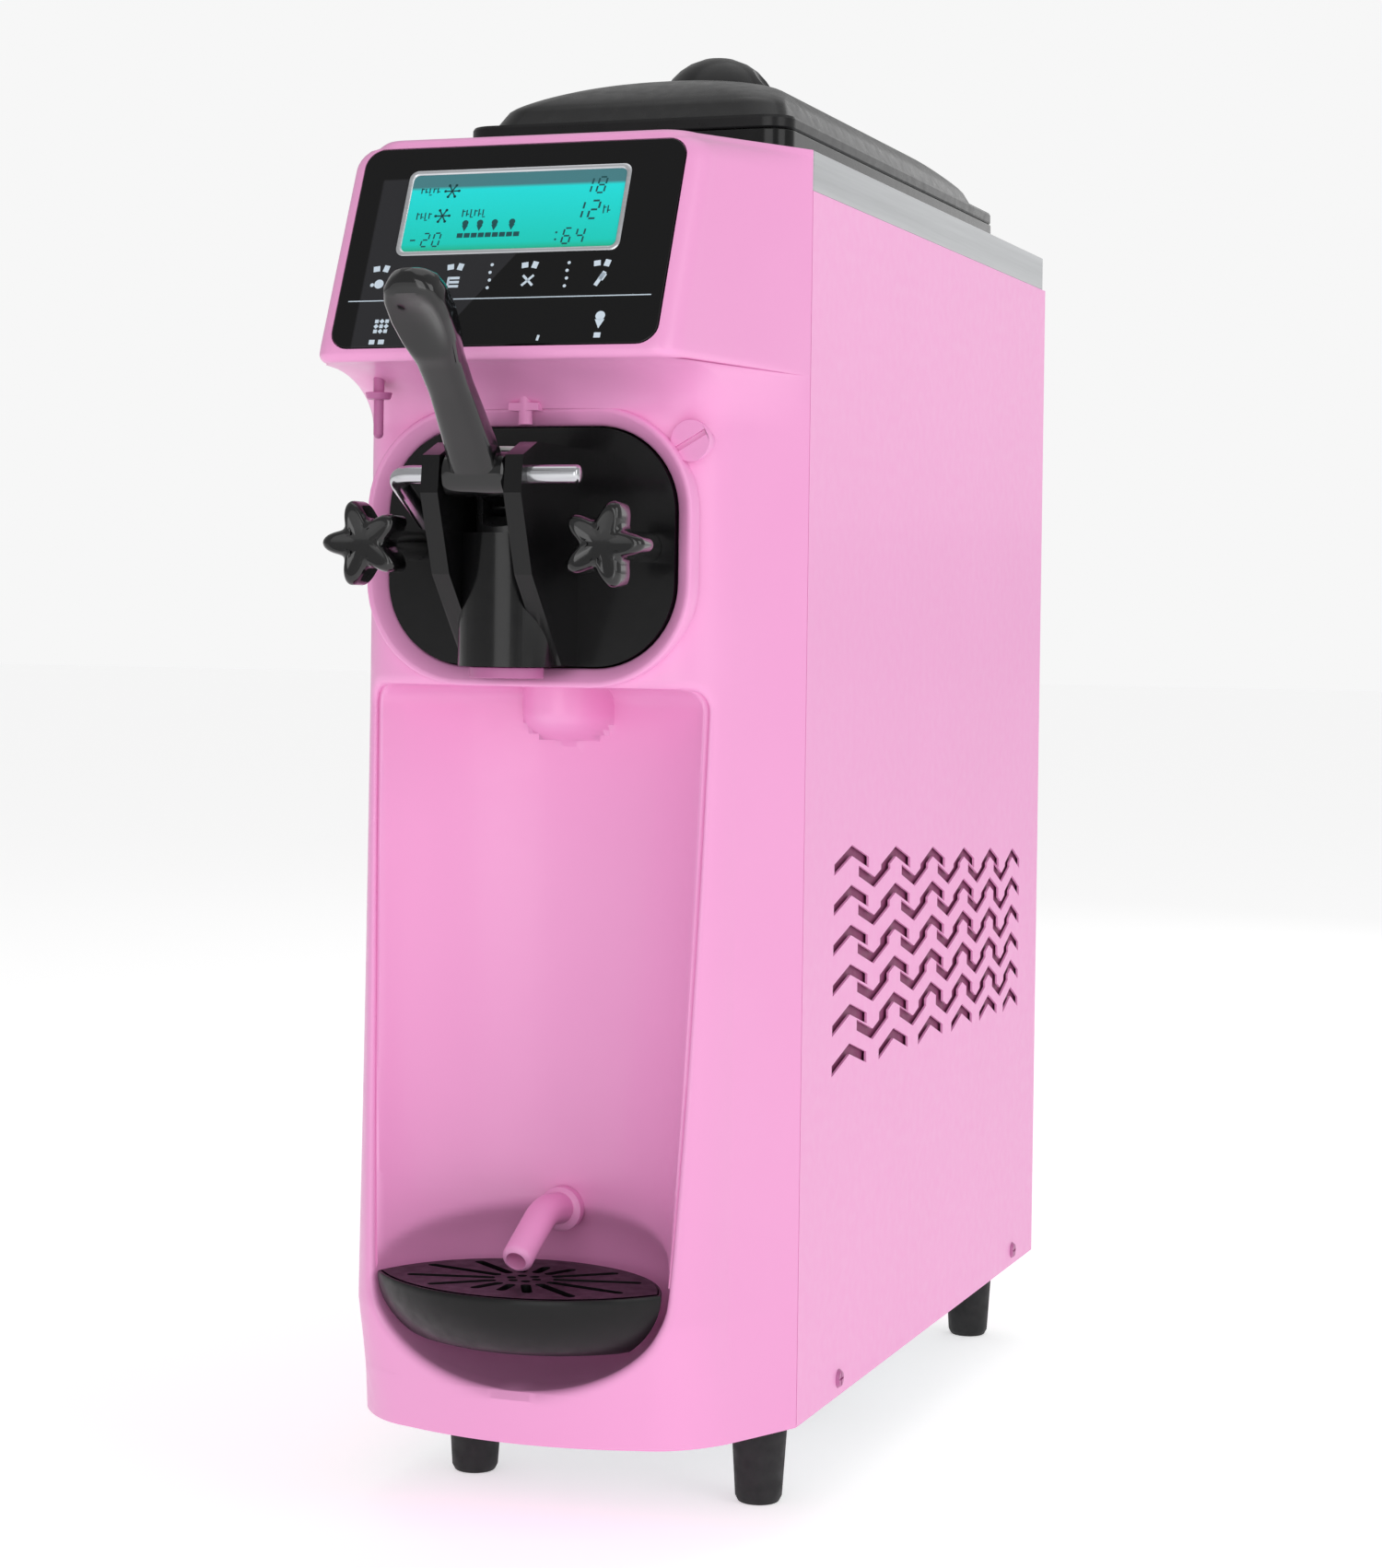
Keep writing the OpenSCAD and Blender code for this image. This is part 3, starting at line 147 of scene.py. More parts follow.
def srgb(r, g, b):
    """Linear colour from display values of 0 to 255."""
    linear = [((c / 255 + 0.055) / 1.055) ** 2.4 if c > 10 else c / 255 / 12.92 for c in (r, g, b)]
    return (*linear, 1)


class Finish:
    """A Principled material with its own procedural colour, roughness and bump."""

    def __init__(self, name, colour, rough, metal=0.0, coat=0.0, coat_rough=0.1, specular=0.5):
        self.material = bpy.data.materials.new(name)
        self.material.use_nodes = True
        self.tree = self.material.node_tree
        self.shader = self.tree.nodes["Principled BSDF"]
        self.coords = self.tree.nodes.new("ShaderNodeTexCoord")
        self.colour = colour
        values = {
            "Base Color": colour,
            "Roughness": rough,
            "Metallic": metal,
            "Coat Weight": coat,
            "Coat Roughness": coat_rough,
            "Specular IOR Level": specular,
            "IOR": 1.45,
        }
        for socket, value in values.items():
            self.shader.inputs[socket].default_value = value

    def node(self, kind, **settings):
        made = self.tree.nodes.new(kind)
        for key, value in settings.items():
            setattr(made, key, value)
        return made

    def link(self, a, b):
        self.tree.links.new(a, b)

    def noise(self, scale, detail=3.0, stretch=(1, 1, 1)):
        """A noise value in object space, stretched along an axis where stretch is small."""
        mapping = self.node("ShaderNodeMapping")
        mapping.inputs["Scale"].default_value = stretch
        noise = self.node("ShaderNodeTexNoise")
        noise.inputs["Scale"].default_value = scale
        noise.inputs["Detail"].default_value = detail
        noise.inputs["Roughness"].default_value = 0.5
        self.link(self.coords.outputs["Object"], mapping.inputs["Vector"])
        self.link(mapping.outputs["Vector"], noise.inputs["Vector"])
        return noise.outputs["Fac"]

    def spread(self, value, low, high):
        """The value mapped from the noise's usual range to low..high."""
        mapped = self.node("ShaderNodeMapRange")
        mapped.inputs["From Min"].default_value = 0.3
        mapped.inputs["From Max"].default_value = 0.7
        mapped.inputs["To Min"].default_value = low
        mapped.inputs["To Max"].default_value = high
        self.link(value, mapped.inputs["Value"])
        return mapped.outputs["Result"]

    def rough_between(self, value, low, high):
        self.link(self.spread(value, low, high), self.shader.inputs["Roughness"])
        return self

    def tint(self, value, other, share):
        """The base colour runs towards another colour as the value rises."""
        mix = self.node("ShaderNodeMix", data_type="RGBA")
        mix.inputs[6].default_value = self.colour
        mix.inputs[7].default_value = other
        self.link(self.spread(value, 0, share), mix.inputs["Factor"])
        self.link(mix.outputs[2], self.shader.inputs["Base Color"])
        return self

    def bump(self, value, strength, distance):
        bump = self.node("ShaderNodeBump")
        bump.inputs["Strength"].default_value = strength
        bump.inputs["Distance"].default_value = distance
        self.link(value, bump.inputs["Height"])
        self.link(bump.outputs["Normal"], self.shader.inputs["Normal"])
        return self


PINK = srgb(240, 163, 212)


def floor_material():
    """A pale floor that glows a little, so that it runs into the pale background."""
    floor = Finish("floor", (0.9, 0.9, 0.9, 1), rough=0.85, specular=0.05)
    floor.shader.inputs["Emission Color"].default_value = WHITE
    floor.shader.inputs["Emission Strength"].default_value = 0.5
    return floor.bump(floor.noise(40), 0.05, 0.001).material


def moulded(name, colour, rough, grain, worn, coat=0.0, specular=0.5):
    """Injection-moulded plastic: fine grain, faint flow marks and slightly uneven polish."""
    f = Finish(name, colour, rough=rough, coat=coat, coat_rough=0.08, specular=specular)
    f.tint(f.noise(9, 2), worn, 0.35)
    f.rough_between(f.noise(160, 4), rough * 0.85, rough * 1.2)
    return f.bump(f.noise(grain, 4), 0.12, 0.00012).material


def metal(name, colour, rough, stretch, scale=700, tone=0.75):
    """Metal with a drawn or brushed grain and patchy polish."""
    f = Finish(name, colour, rough=rough, metal=1.0)
    dark = tuple(c * tone for c in colour[:3]) + (1,)
    grain = f.noise(scale, 5, stretch)
    f.tint(grain, dark, 0.6)
    f.rough_between(f.noise(60, 3, stretch), rough * 0.8, rough * 1.25)
    return f.bump(grain, 0.25, 0.00006).material


def make_materials():
    black, near_black, steel = srgb(12, 12, 13), srgb(30, 30, 31), srgb(178, 180, 182)
    # Name: colour, roughness, scale of the grain, worn colour, and any coat and specular level.
    plastics = {
        "pink_plastic": (PINK, 0.36, 1500, srgb(236, 154, 207), 0.12),
        "pink_panel": (PINK, 0.42, 2600, srgb(243, 166, 216), 0.05),
        "dark_pink_plastic": (srgb(186, 108, 158), 0.4, 1500, srgb(170, 95, 142)),
        "black_gloss": (black, 0.2, 1800, srgb(20, 20, 21), 0.12, 0.3),
        "handle_gloss": (black, 0.13, 1800, srgb(18, 18, 19), 0.5, 0.45),
        "black_satin": (srgb(20, 20, 21), 0.3, 1400, near_black, 0.08, 0.3),
        "dark_acetal": (near_black, 0.3, 1500, srgb(40, 40, 41)),
        "black_tray": (srgb(10, 10, 11), 0.4, 1400, srgb(20, 20, 21), 0.08, 0.3),
        "rubber": (srgb(24, 24, 25), 0.62, 1100, srgb(38, 38, 40)),
        "shroud_plastic": (srgb(40, 40, 42), 0.5, 1300, near_black),
        "electric_black": (srgb(28, 28, 30), 0.38, 1500, srgb(44, 44, 46)),
        "fan_plastic": (srgb(200, 202, 205), 0.45, 1300, srgb(186, 188, 192)),
        "plunger_plastic": (srgb(218, 219, 216), 0.35, 1500, srgb(205, 206, 203)),
        "foam": (srgb(226, 216, 180), 0.85, 500, srgb(206, 192, 150)),
        "circuit_board": (srgb(20, 96, 52), 0.35, 1600, srgb(14, 74, 40)),
        "motor_paint": (srgb(92, 96, 104), 0.4, 1500, srgb(78, 82, 90)),
        "compressor_paint": (srgb(20, 20, 22), 0.25, 1500, srgb(30, 30, 32), 0.3),
        # vent_shade is painted shade: the dark magenta seen through the vents.
        "vent_shade": (srgb(140, 66, 108), 0.6, 1500, srgb(128, 58, 98)),
        "icon_ink": (srgb(214, 228, 240), 0.5, 1500, srgb(170, 186, 200)),
        "lcd_ink": (srgb(10, 74, 78), 0.5, 1500, srgb(16, 90, 92)),
    }
    # Name: colour, roughness, stretch and scale of the grain, and the dark grain's share of colour.
    metals = {
        "brushed_steel": (steel, 0.34, (1, 0.015, 1), 900, 0.86),
        "bright_steel": (srgb(205, 206, 210), 0.18, (0.05, 1, 1)),
        "galvanised": (srgb(176, 180, 184), 0.42, (1, 1, 1), 90),
        "copper_tube": (srgb(214, 140, 100), 0.25, (1, 0.2, 1)),
        "gearbox_casting": (srgb(150, 154, 160), 0.5, (1, 1, 1), 400),
        "gear_steel": (srgb(170, 166, 158), 0.3, (1, 0.1, 1)),
        "silver_frame": (srgb(222, 224, 228), 0.3, (0.05, 1, 1)),
    }
    made = {name: moulded(name, *values) for name, values in plastics.items()}
    made.update({name: metal(name, *values) for name, values in metals.items()})
    made["black_glass"] = glass_material()
    made["display"] = display_material()
    return made


def glass_material():
    """Back-printed glass: deep gloss over black, with a painted reflection, a paler grey left of a
    slanting line.
    """
    lean = -0.805
    f = Finish("black_glass", srgb(7, 7, 8), rough=0.08, coat=0.1, coat_rough=0.03, specular=0.28)
    split = f.node("ShaderNodeSeparateXYZ")
    f.link(f.coords.outputs["Object"], split.inputs["Vector"])
    slope = f.node("ShaderNodeMath", operation="MULTIPLY_ADD")
    f.link(split.outputs["Z"], slope.inputs[0])
    slope.inputs[1].default_value = lean
    f.link(split.outputs["X"], slope.inputs[2])
    line = -16 * MM + lean * on_panel(0, 18, 0).z
    # The painted reflection lies left of the slanting line, right of x -64 mm and below the display's
    # top.
    shares = []
    for value, start, end in (
        (slope.outputs[0], line + 0.6 * MM, line),
        (split.outputs["X"], -65 * MM, -64 * MM),
        (split.outputs["Z"], on_panel(0, 85, 0).z, on_panel(0, 84, 0).z),
    ):
        ramp = f.node("ShaderNodeMapRange")
        ramp.inputs["From Min"].default_value = start
        ramp.inputs["From Max"].default_value = end
        f.link(value, ramp.inputs["Value"])
        shares.append(ramp.outputs["Result"])
    painted_reflection = shares[0]
    for share in shares[1:]:
        both = f.node("ShaderNodeMath", operation="MULTIPLY")
        f.link(painted_reflection, both.inputs[0])
        f.link(share, both.inputs[1])
        painted_reflection = both.outputs[0]
    # The paler grey mixed in here is a painted reflection.
    mix = f.node("ShaderNodeMix", data_type="RGBA")
    mix.inputs[6].default_value = f.colour
    mix.inputs[7].default_value = srgb(40, 40, 43)
    f.link(painted_reflection, mix.inputs["Factor"])
    f.link(mix.outputs[2], f.shader.inputs["Base Color"])
    return f.bump(f.noise(30, 2), 0.02, 0.0001).material


def display_material():
    """Backlit liquid crystal: cyan, greener low down, with a dull strip along the top."""
    f = Finish("display", srgb(10, 180, 176), rough=0.12)
    split = f.node("ShaderNodeSeparateXYZ")
    f.link(f.coords.outputs["Object"], split.inputs["Vector"])
    ramp = f.node("ShaderNodeValToRGB")
    stops = ramp.color_ramp.elements
    stops[0].position, stops[0].color = 0.0, srgb(24, 160, 120)
    stops[1].position, stops[1].color = 1.0, srgb(60, 112, 118)
    for place, colour in ((0.1, (10, 184, 170)), (0.8, (20, 200, 198)), (0.845, (60, 112, 118))):
        stops.new(place).color = srgb(*colour)
    rise = f.node("ShaderNodeMapRange")
    rise.inputs["From Min"].default_value = on_panel(0, 48, 0).z
    rise.inputs["From Max"].default_value = on_panel(0, 86, 0).z
    f.link(split.outputs["Z"], rise.inputs["Value"])
    f.link(rise.outputs["Result"], ramp.inputs["Fac"])
    f.link(ramp.outputs["Color"], f.shader.inputs["Base Color"])
    f.link(ramp.outputs["Color"], f.shader.inputs["Emission Color"])
    f.shader.inputs["Emission Strength"].default_value = 0.3
    return f.material


# ---------------------------------------------------------------- mesh tools


def raw(name, shape):
    """An undressed object of row-frame (verts, faces), with its faces turned outward."""
    verts, faces = shape
    mesh = bpy.data.meshes.new(name)
    mesh.from_pydata([tuple(v) for v in verts], [], [tuple(f) for f in faces])
    mesh.validate()
    bm = bmesh.new()
    bm.from_mesh(mesh)
    bmesh.ops.remove_doubles(bm, verts=bm.verts, dist=1e-6)
    bmesh.ops.recalc_face_normals(bm, faces=bm.faces)
    bm.to_mesh(mesh)
    bm.free()
    obj = bpy.data.objects.new(name, mesh)
    bpy.context.scene.collection.objects.link(obj)
    return obj


def piece(name, shape, finish, body, **dressing):
    """A mesh piece of row-frame (verts, faces), dressed."""
    return dress(raw(name, shape), finish, body, **dressing)


def dress(obj, finish, body, *, slot=None, replaces=(), sharp=35, bevel=0.0):
    """Gives a mesh object its finish, bevel and body, and crisp edges over sharp degrees."""
    obj.data.materials.clear()
    obj.data.materials.append(FINISHES[finish])
    obj.data.polygons.foreach_set("use_smooth", [True] * len(obj.data.polygons))
    obj.data.set_sharp_from_angle(angle=math.radians(sharp))
    if bevel:
        mod = obj.modifiers.new("edges", "BEVEL")
        mod.width = bevel * MM
        mod.segments = 3
        mod.limit_method = "ANGLE"
        mod.angle_limit = math.radians(32)
        mod.harden_normals = True
    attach(obj, body)
    if replaces:
        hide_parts(*replaces)
    return obj


def loft(rings, ends="filled"):
    """Quads between rings of equal length. The end rings are filled, open, or joined together."""
    n, total = len(rings[0]), len(rings)
    verts = [p for ring in rings for p in ring]
    faces = []
    for i in range(total if ends == "joined" else total - 1):
        here, after = i * n, (i + 1) % total * n
        faces += [(here + k, here + (k + 1) % n, after + (k + 1) % n, after + k) for k in range(n)]
    if ends == "filled":
        faces += [tuple(range(n)), tuple(range(len(verts) - n, len(verts)))]
    return verts, faces


def joined(*shapes):
    """Several (verts, faces) shapes as one."""
    verts, faces = [], []
    for v, f in shapes:
        start = len(verts)
        verts += list(v)
        faces += [tuple(i + start for i in face) for face in f]
    return verts, faces


def round_rect(w, h, r, steps=8):
    """Points round a w by h rectangle with corner radius r, about its middle."""
    points = []
    for k, (sx, sy) in enumerate(((1, 1), (-1, 1), (-1, -1), (1, -1))):
        for i in range(steps + 1):
            a = math.pi / 2 * (k + i / steps)
            points.append((sx * (w / 2 - r) + r * math.cos(a), sy * (h / 2 - r) + r * math.sin(a)))
    return points


def prism(outline, low, high, place):
    """A straight prism of a 2D outline; place(u, v, w) gives row-frame points."""
    return loft([[place(u, v, w) for u, v in outline] for w in (low, high)])


def turned(profile, place, sides=48):
    """A turned shape: profile of (radius, along) points; place(u, v, w) has w along the axis."""
    angles = circle_angles(sides)
    return loft([[place(r * math.cos(a), r * math.sin(a), w) for a in angles] for r, w in profile])


def circle_angles(sides):
    return [2 * math.pi * k / sides for k in range(sides)]


def tube(path, radius, sides=20):
    """A round rod along row-frame points, with softly rounded ends. radius is in millimetres."""
    points = [Vector(p) for p in path]
    first, last = (points[1] - points[0]).normalized(), (points[-1] - points[-2]).normalized()
    r = radius * MM
    butts, tips = [], []
    for k in range(3, -1, -1):
        a = math.pi / 2 * (k + 0.4) / 4.4
        bulge, size = r * 0.45 * math.cos(a), r * math.sin(a) ** 0.5
        tips.append((points[-1] + last * bulge, size))
        butts.insert(0, (points[0] - first * bulge, size))
    spots = [*butts, *((p, r) for p in points), *tips]
    rings, side = [], None
    for i, (p, radius_here) in enumerate(spots):
        ahead = spots[min(i + 1, len(spots) - 1)][0] - spots[max(i - 1, 0)][0]
        ahead.normalize()
        if side is None:
            side = ahead.orthogonal().normalized()
        side = (side - ahead * side.dot(ahead)).normalized()
        other = ahead.cross(side)
        ways = [side * math.cos(a) + other * math.sin(a) for a in circle_angles(sides)]
        rings.append([p + way * radius_here for way in ways])
    return loft(rings)


def bent_path(corners, bend, steps=8):
    """A path through corners, with each inner corner rounded from bend millimetres before it."""
    corners = [Vector(c) for c in corners]
    path = [corners[0]]
    for a, b, c in zip(corners, corners[1:], corners[2:]):
        start, end = b + (a - b).normalized() * bend * MM, b + (c - b).normalized() * bend * MM
        for i in range(steps + 1):
            t = i / steps
            path.append(start * (1 - t) ** 2 + b * 2 * t * (1 - t) + end * t * t)
    return path + [corners[-1]]


def apply_modifiers(obj):
    graph = bpy.context.evaluated_depsgraph_get()
    obj.data = bpy.data.meshes.new_from_object(obj.evaluated_get(graph))
    obj.modifiers.clear()


def combine(obj, operation, *shapes):
    """Joins closed (verts, faces) shapes to an object, or takes them from it."""
    for shape in shapes:
        tool = raw("tool", shape)
        mod = obj.modifiers.new("combine", "BOOLEAN")
        mod.operation = operation
        mod.solver = "EXACT"
        mod.object = tool
        apply_modifiers(obj)
        bpy.data.objects.remove(tool)


def thicken(obj, thickness):
    """Gives a sheet a wall, inwards."""
    wall = obj.modifiers.new("wall", "SOLIDIFY")
    wall.thickness = thickness * MM
    wall.offset = -1
    apply_modifiers(obj)


# ---------------------------------------------------------------- front cover

# The lip is the head's foremost edge, under the control panel; the brow is its edge at the top.
LIP = {"reach": 116, "z": DECK_Z - 97}
BROW = {"reach": 77, "z": DECK_Z - 3}
WAIST_TOP = DECK_Z - 126
PANEL_TILT = math.atan2(LIP["reach"] - BROW["reach"], BROW["z"] - LIP["z"])
PANEL_LEN = math.hypot(LIP["reach"] - BROW["reach"], BROW["z"] - LIP["z"])


def on_panel(u, v, w):
    """A point on the slanted control panel: u right, v up along it from the lip, w out of it."""
    reach = LIP["reach"] - v * math.sin(PANEL_TILT) + w * math.cos(PANEL_TILT)
    return at(u, reach, LIP["z"] + v * math.cos(PANEL_TILT) + w * math.sin(PANEL_TILT))


def smooth_min(a, b, k):
    """The lesser of two values, rounded where they are within k of each other."""
    h = np.clip(0.5 + 0.5 * (b - a) / k, 0, 1)
    return b * (1 - h) + a * h - k * h * (1 - h)


def cover_rows():
    """Rows up the cover: height, reach of the middle, corner point, flank point and corner size."""
    corner = 20
    levels = [0, 44, 55, 70, 200, 331, WAIST_TOP - BASE_Z]
    table = {
        "reach": [74, 83.2, 84.6, 84, 76, 72, 72],
        "corner_x": [74, 80.6, 82, 82, 81, 80, 80],
        "corner_reach": [61, 70, 72, 71.5, 67, 64, 64],
        "flank_x": [87, 87.8, 88, 88, 88, 88, 88],
        "flank_reach": [39, 41.5, 42, 42, 42, 42, 42],
    }
    # Rows lie closest at the rounded ends of the tray pocket and of the recess.
    heights = list(np.arange(0, 22, 2))
    heights += [68 - 44.5 * math.cos(a) for a in np.linspace(0.06, math.pi / 2, 26)]
    heights += list(np.arange(70, 290, 2.6))
    heights += [290 + 40 * math.sin(a) for a in np.linspace(0.04, math.pi / 2, 22)]
    heights += list(np.arange(331, 337, 0.8))
    heights += list(np.arange(338, WAIST_TOP - BASE_Z, 2.6))
    rows = [
        [BASE_Z + h, *(np.interp(h, levels, values) for values in table.values()), corner]
        for h in sorted(heights)
    ]
    # From the waist, the head's underside swings out to the lip.
    waist = np.array([72, 80, 64, 88, 42, corner])
    head = np.array([LIP["reach"] - 3, 78, LIP["reach"] - 4, 83.4, LIP["reach"] - 15, 10])
    for a in np.linspace(0.03, math.pi / 2, 26):
        shape = waist + (head - waist) * (1 - math.cos(a))
        rows.append([WAIST_TOP + 25 * math.sin(a), *shape])
    # The lip turns up in a small radius, and the brow turns back in another.
    for a in np.linspace(0.1, math.pi / 2, 7):
        z = LIP["z"] - 4 * math.cos(a)
        reach = LIP["reach"] - 3 + 3 * math.sin(a)
        x = 78 + 4 * math.sin(a) ** 0.7
        rows.append([z, reach, x, reach - 0.2, x + 2.4, reach - 13, 10])
    for v in np.linspace(0.04, 0.985, 46):
        z = LIP["z"] + v * (BROW["z"] - LIP["z"])
        reach = LIP["reach"] - v * (LIP["reach"] - BROW["reach"])
        above = max(0.0, 10 - (BROW["z"] - z))
        x = 82 - (10 - math.sqrt(max(0, 100 - above**2)))
        rows.append([z, reach, x, reach, x + 2.4, reach - 12.5, 10])
    for a in np.linspace(0.12, math.pi / 2, 8):
        reach = BROW["reach"] - 4 * (1 - math.cos(a)) - 0.6
        x = 73.5 - 4 * math.sin(a)
        rows.append([BROW["z"] - 0.4 + 3.4 * math.sin(a), reach, x, reach, x + 3, reach - 13, 10])
    return np.array(rows)


def bezier(a, b, c, n):
    t = np.linspace(0, 1, n)[:, None]
    return (1 - t) ** 2 * np.array(a) + 2 * t * (1 - t) * np.array(b) + t**2 * np.array(c)


def cover_outline(row):
    """Half outline of a row, as (x, reach) points from the seam to the middle of the front."""
    _, reach, corner_x, corner_reach, flank_x, flank_reach, k = row
    seam, flank = np.array((HALF_W, 0.0)), np.array((flank_x, flank_reach))
    t = np.linspace(0, 1, 25)[:-1, None]
    side = seam * (1 - t) + flank * t
    edge = np.array((corner_x - k, corner_reach + 0.3 * (reach - corner_reach)))
    turn = bezier(flank, (corner_x, corner_reach), edge, 41)[:-1]
    face = bezier(edge, (edge[0] * 0.5, reach), (0, reach), 61)
    return np.concatenate([side, turn, face])


RECESS_LOW, RECESS_HIGH, RECESS_BACK, RECESS_ROUND = BASE_Z + 68, BASE_Z + 330, 17.5, 9
POCKET = {"reach": 70, "half_w": 69.5, "half_d": 64.6, "half_h": 44.5}


def carved_reach(x, z, face):
    """Reach of the recess and tray pocket behind the cover's face; large where they aren't."""
    u = np.clip((z - RECESS_LOW) / (RECESS_HIGH - RECESS_LOW), 0, 1)
    rise = np.clip(z - (RECESS_HIGH - RECESS_ROUND), 0, RECESS_ROUND)
    tight = RECESS_ROUND - np.sqrt(RECESS_ROUND**2 - rise**2)
    r = 71.5 + 28.5 * u - tight
    edge = 66 - 12 * u**2 - (70 + 14 * u - tight - np.abs(x)) * (2.4 - 1.7 * u)
    arc = RECESS_BACK + tight + r - np.sqrt(np.maximum(r**2 - x**2, 0))
    wall = -smooth_min(-arc, -edge, 3.0)
    wall = np.where((z < RECESS_LOW - 0.01) | (z > RECESS_HIGH + 0.01), 400, wall)
    f = 1 - (x / POCKET["half_w"]) ** 2 - ((z - RECESS_LOW) / POCKET["half_h"]) ** 2
    depth = POCKET["half_d"] * np.sqrt(np.maximum(f, 0))
    bowl = np.where((f > 0) & (face < POCKET["reach"] + depth), POCKET["reach"] - depth, 400)
    return smooth_min(wall, bowl, 3.0)


def opening_half(outline, z):
    """Half width of the opening across one row of the cover, or None where the row is closed."""
    xs = np.linspace(0, 87, 1741)
    face = np.interp(xs, outline[::-1, 0], outline[::-1, 1])
    open_here = carved_reach(xs, np.full_like(xs, z), face) < face
    return xs[open_here].max() if open_here.any() and z <= RECESS_HIGH else None


def cover_grid(rows):
    """The cover's points, row by row, with one column kept on the opening's edge."""
    outlines = [cover_outline(row) for row in rows]
    halves = [opening_half(outline, row[0]) for outline, row in zip(outlines, rows)]
    opened = [i for i, half in enumerate(halves) if half is not None]
    edge = [(halves[i], rows[i, 0]) for i in opened]
    edge = [(0.0, edge[0][1]), *edge, (0.0, edge[-1][1])]
    outer = 1 - (1 - np.linspace(0, 1, 48)) ** 1.5
    inner = np.linspace(0, 1, 40) ** 1.2
    grid = []
    for i, outline in enumerate(outlines):
        half = halves[i] if i in opened else (0.0 if i < opened[0] else halves[opened[-1]])
        run = np.concatenate([[0], np.cumsum(np.hypot(*np.diff(outline, axis=0).T))])
        split = np.interp(half, outline[::-1, 0], run[::-1])
        along = np.concatenate([split * outer, split + (run[-1] - split) * inner])
        grid.append([np.interp(along, run, outline[:, k]) for k in (0, 1)])
    grid = np.array(grid)
    inside = np.zeros(grid[:, 0].shape, dtype=bool)
    inside[opened[0] : opened[-1] + 1, len(outer) :] = True
    return grid[:, 0], grid[:, 1], inside, np.array(edge)


def edge_distance(x, z, edge):
    """Distance of points from a polyline."""
    best = np.full(x.shape, 1e9)
    for (ax, az), (bx, bz) in zip(edge[:-1], edge[1:]):
        dx, dz = bx - ax, bz - az
        t = np.clip(((x - ax) * dx + (z - az) * dz) / max(dx * dx + dz * dz, 1e-9), 0, 1)
        best = np.minimum(best, np.hypot(x - ax - t * dx, z - az - t * dz))
    return best


EDGE_FILLET = 5.0


def cover_shell():
    """The cover's outer skin, with the recess, the tray pocket and the nozzle's boss pressed in."""
    rows = cover_rows()
    x, reach, inside, edge = cover_grid(rows)
    z = np.repeat(rows[:, :1], x.shape[1], axis=1)
    far = edge_distance(x, z, edge)
    carve = carved_reach(np.minimum(x, np.where(inside, x - 0.03, x)), z, reach)
    # The boss round the nozzle swells out of the recess's top.
    boss_up = np.clip((RECESS_HIGH - 12 - z) / 13.2, 0, 1)
    boss = 8 + 36 * np.sqrt(np.maximum(1 - (x / 23) ** 2 - boss_up**2, 0))
    boss = np.where(boss_up < 1, boss, -50)
    carve = -smooth_min(-carve, -boss, 2.0)
    # The opening's edge is rounded on the face's side, and met by the carved wall on the other.
    drop = EDGE_FILLET - np.sqrt(np.maximum(EDGE_FILLET**2 - (EDGE_FILLET - far) ** 2, 0))
    outside = np.where(far < EDGE_FILLET, reach - drop, reach)
    reach = np.where(inside, smooth_min(carve, reach - EDGE_FILLET, 2.5), outside)
    # The left half mirrors the right.
    x = np.concatenate([x, -x[:, -2::-1]], axis=1)
    reach = np.concatenate([reach, reach[:, -2::-1]], axis=1)
    z = np.concatenate([z, z[:, -2::-1]], axis=1)
    # The floor and the top run back from the first and last rows to the seam.
    shares = np.linspace(0, 1, 12)[:-1]
    below = [(x[0], reach[0] * s, z[0]) for s in shares]
    above = [(x[-1], reach[-1] * s, z[-1]) for s in shares[::-1]]
    x = np.concatenate([[b[0] for b in below], x, [a[0] for a in above]])
    reach = np.concatenate([[b[1] for b in below], reach, [a[1] for a in above]])
    z = np.concatenate([[b[2] for b in below], z, [a[2] for a in above]])
    count, width = x.shape
    verts = [tuple(at(*p)) for p in zip(x.ravel(), reach.ravel() + 0.3, z.ravel())]
    faces = [
        (i * width + k, i * width + k + 1, (i + 1) * width + k + 1, (i + 1) * width + k)
        for i in range(count - 1)
        for k in range(width - 1)
    ]
    return verts, faces


def around_door(grow, reach):
    """The door's outline grown by some millimetres, at one reach."""
    outline = round_rect(DOOR_W + 2 * grow, 104 + 2 * grow, 37 + grow, 14)
    return [at(u, reach, AXIS_Z + v) for u, v in outline]


def front_cover():
    """The cover's wall, with holes for the door and the control panel, and the door's surround."""
    cover = raw("front_cover_shell", cover_shell())
    thicken(cover, 2.6)

    def through(u, v, w):
        return at(u, w, AXIS_Z + v)

    def panel_hole(width, height, middle, corner, steps):
        return [(u, v + middle) for u, v in round_rect(width, height, corner, steps)]

    combine(
        cover,
        "DIFFERENCE",
        prism(round_rect(DOOR_W + 2, 106, 38, 12), 20, 130, through),
        prism(round_rect(DOOR_W + 16, 120, 44, 14), 64, 130, through),
        prism(panel_hole(151, PANEL_LEN - 3, PANEL_LEN / 2, 9, 8), -2.2, 20, on_panel),
        prism(panel_hole(120, 68, 58, 3, 2), -12, 1, on_panel),
    )
    dress(cover, "pink_plastic", "machine", slot="pink_plastic", replaces=["front_cover"], sharp=32)
    # The bevelled surround runs from the cover's face down to the door.
    bevel = [(9.2, 71.2), (8.2, 71.9), (6.4, 71.4), (3.6, 68.4), (1.6, 66.6), (0.8, 65.4), (0.8, 62)]
    rings = [around_door(grow, reach) for grow, reach in bevel] + [around_door(9.2, 62)]
    ring = loft(rings, "joined")
    piece("door_surround", ring, "pink_plastic", "machine", slot="pink_plastic", sharp=60)


# ---------------------------------------------------------------- pieces that soften the CAD


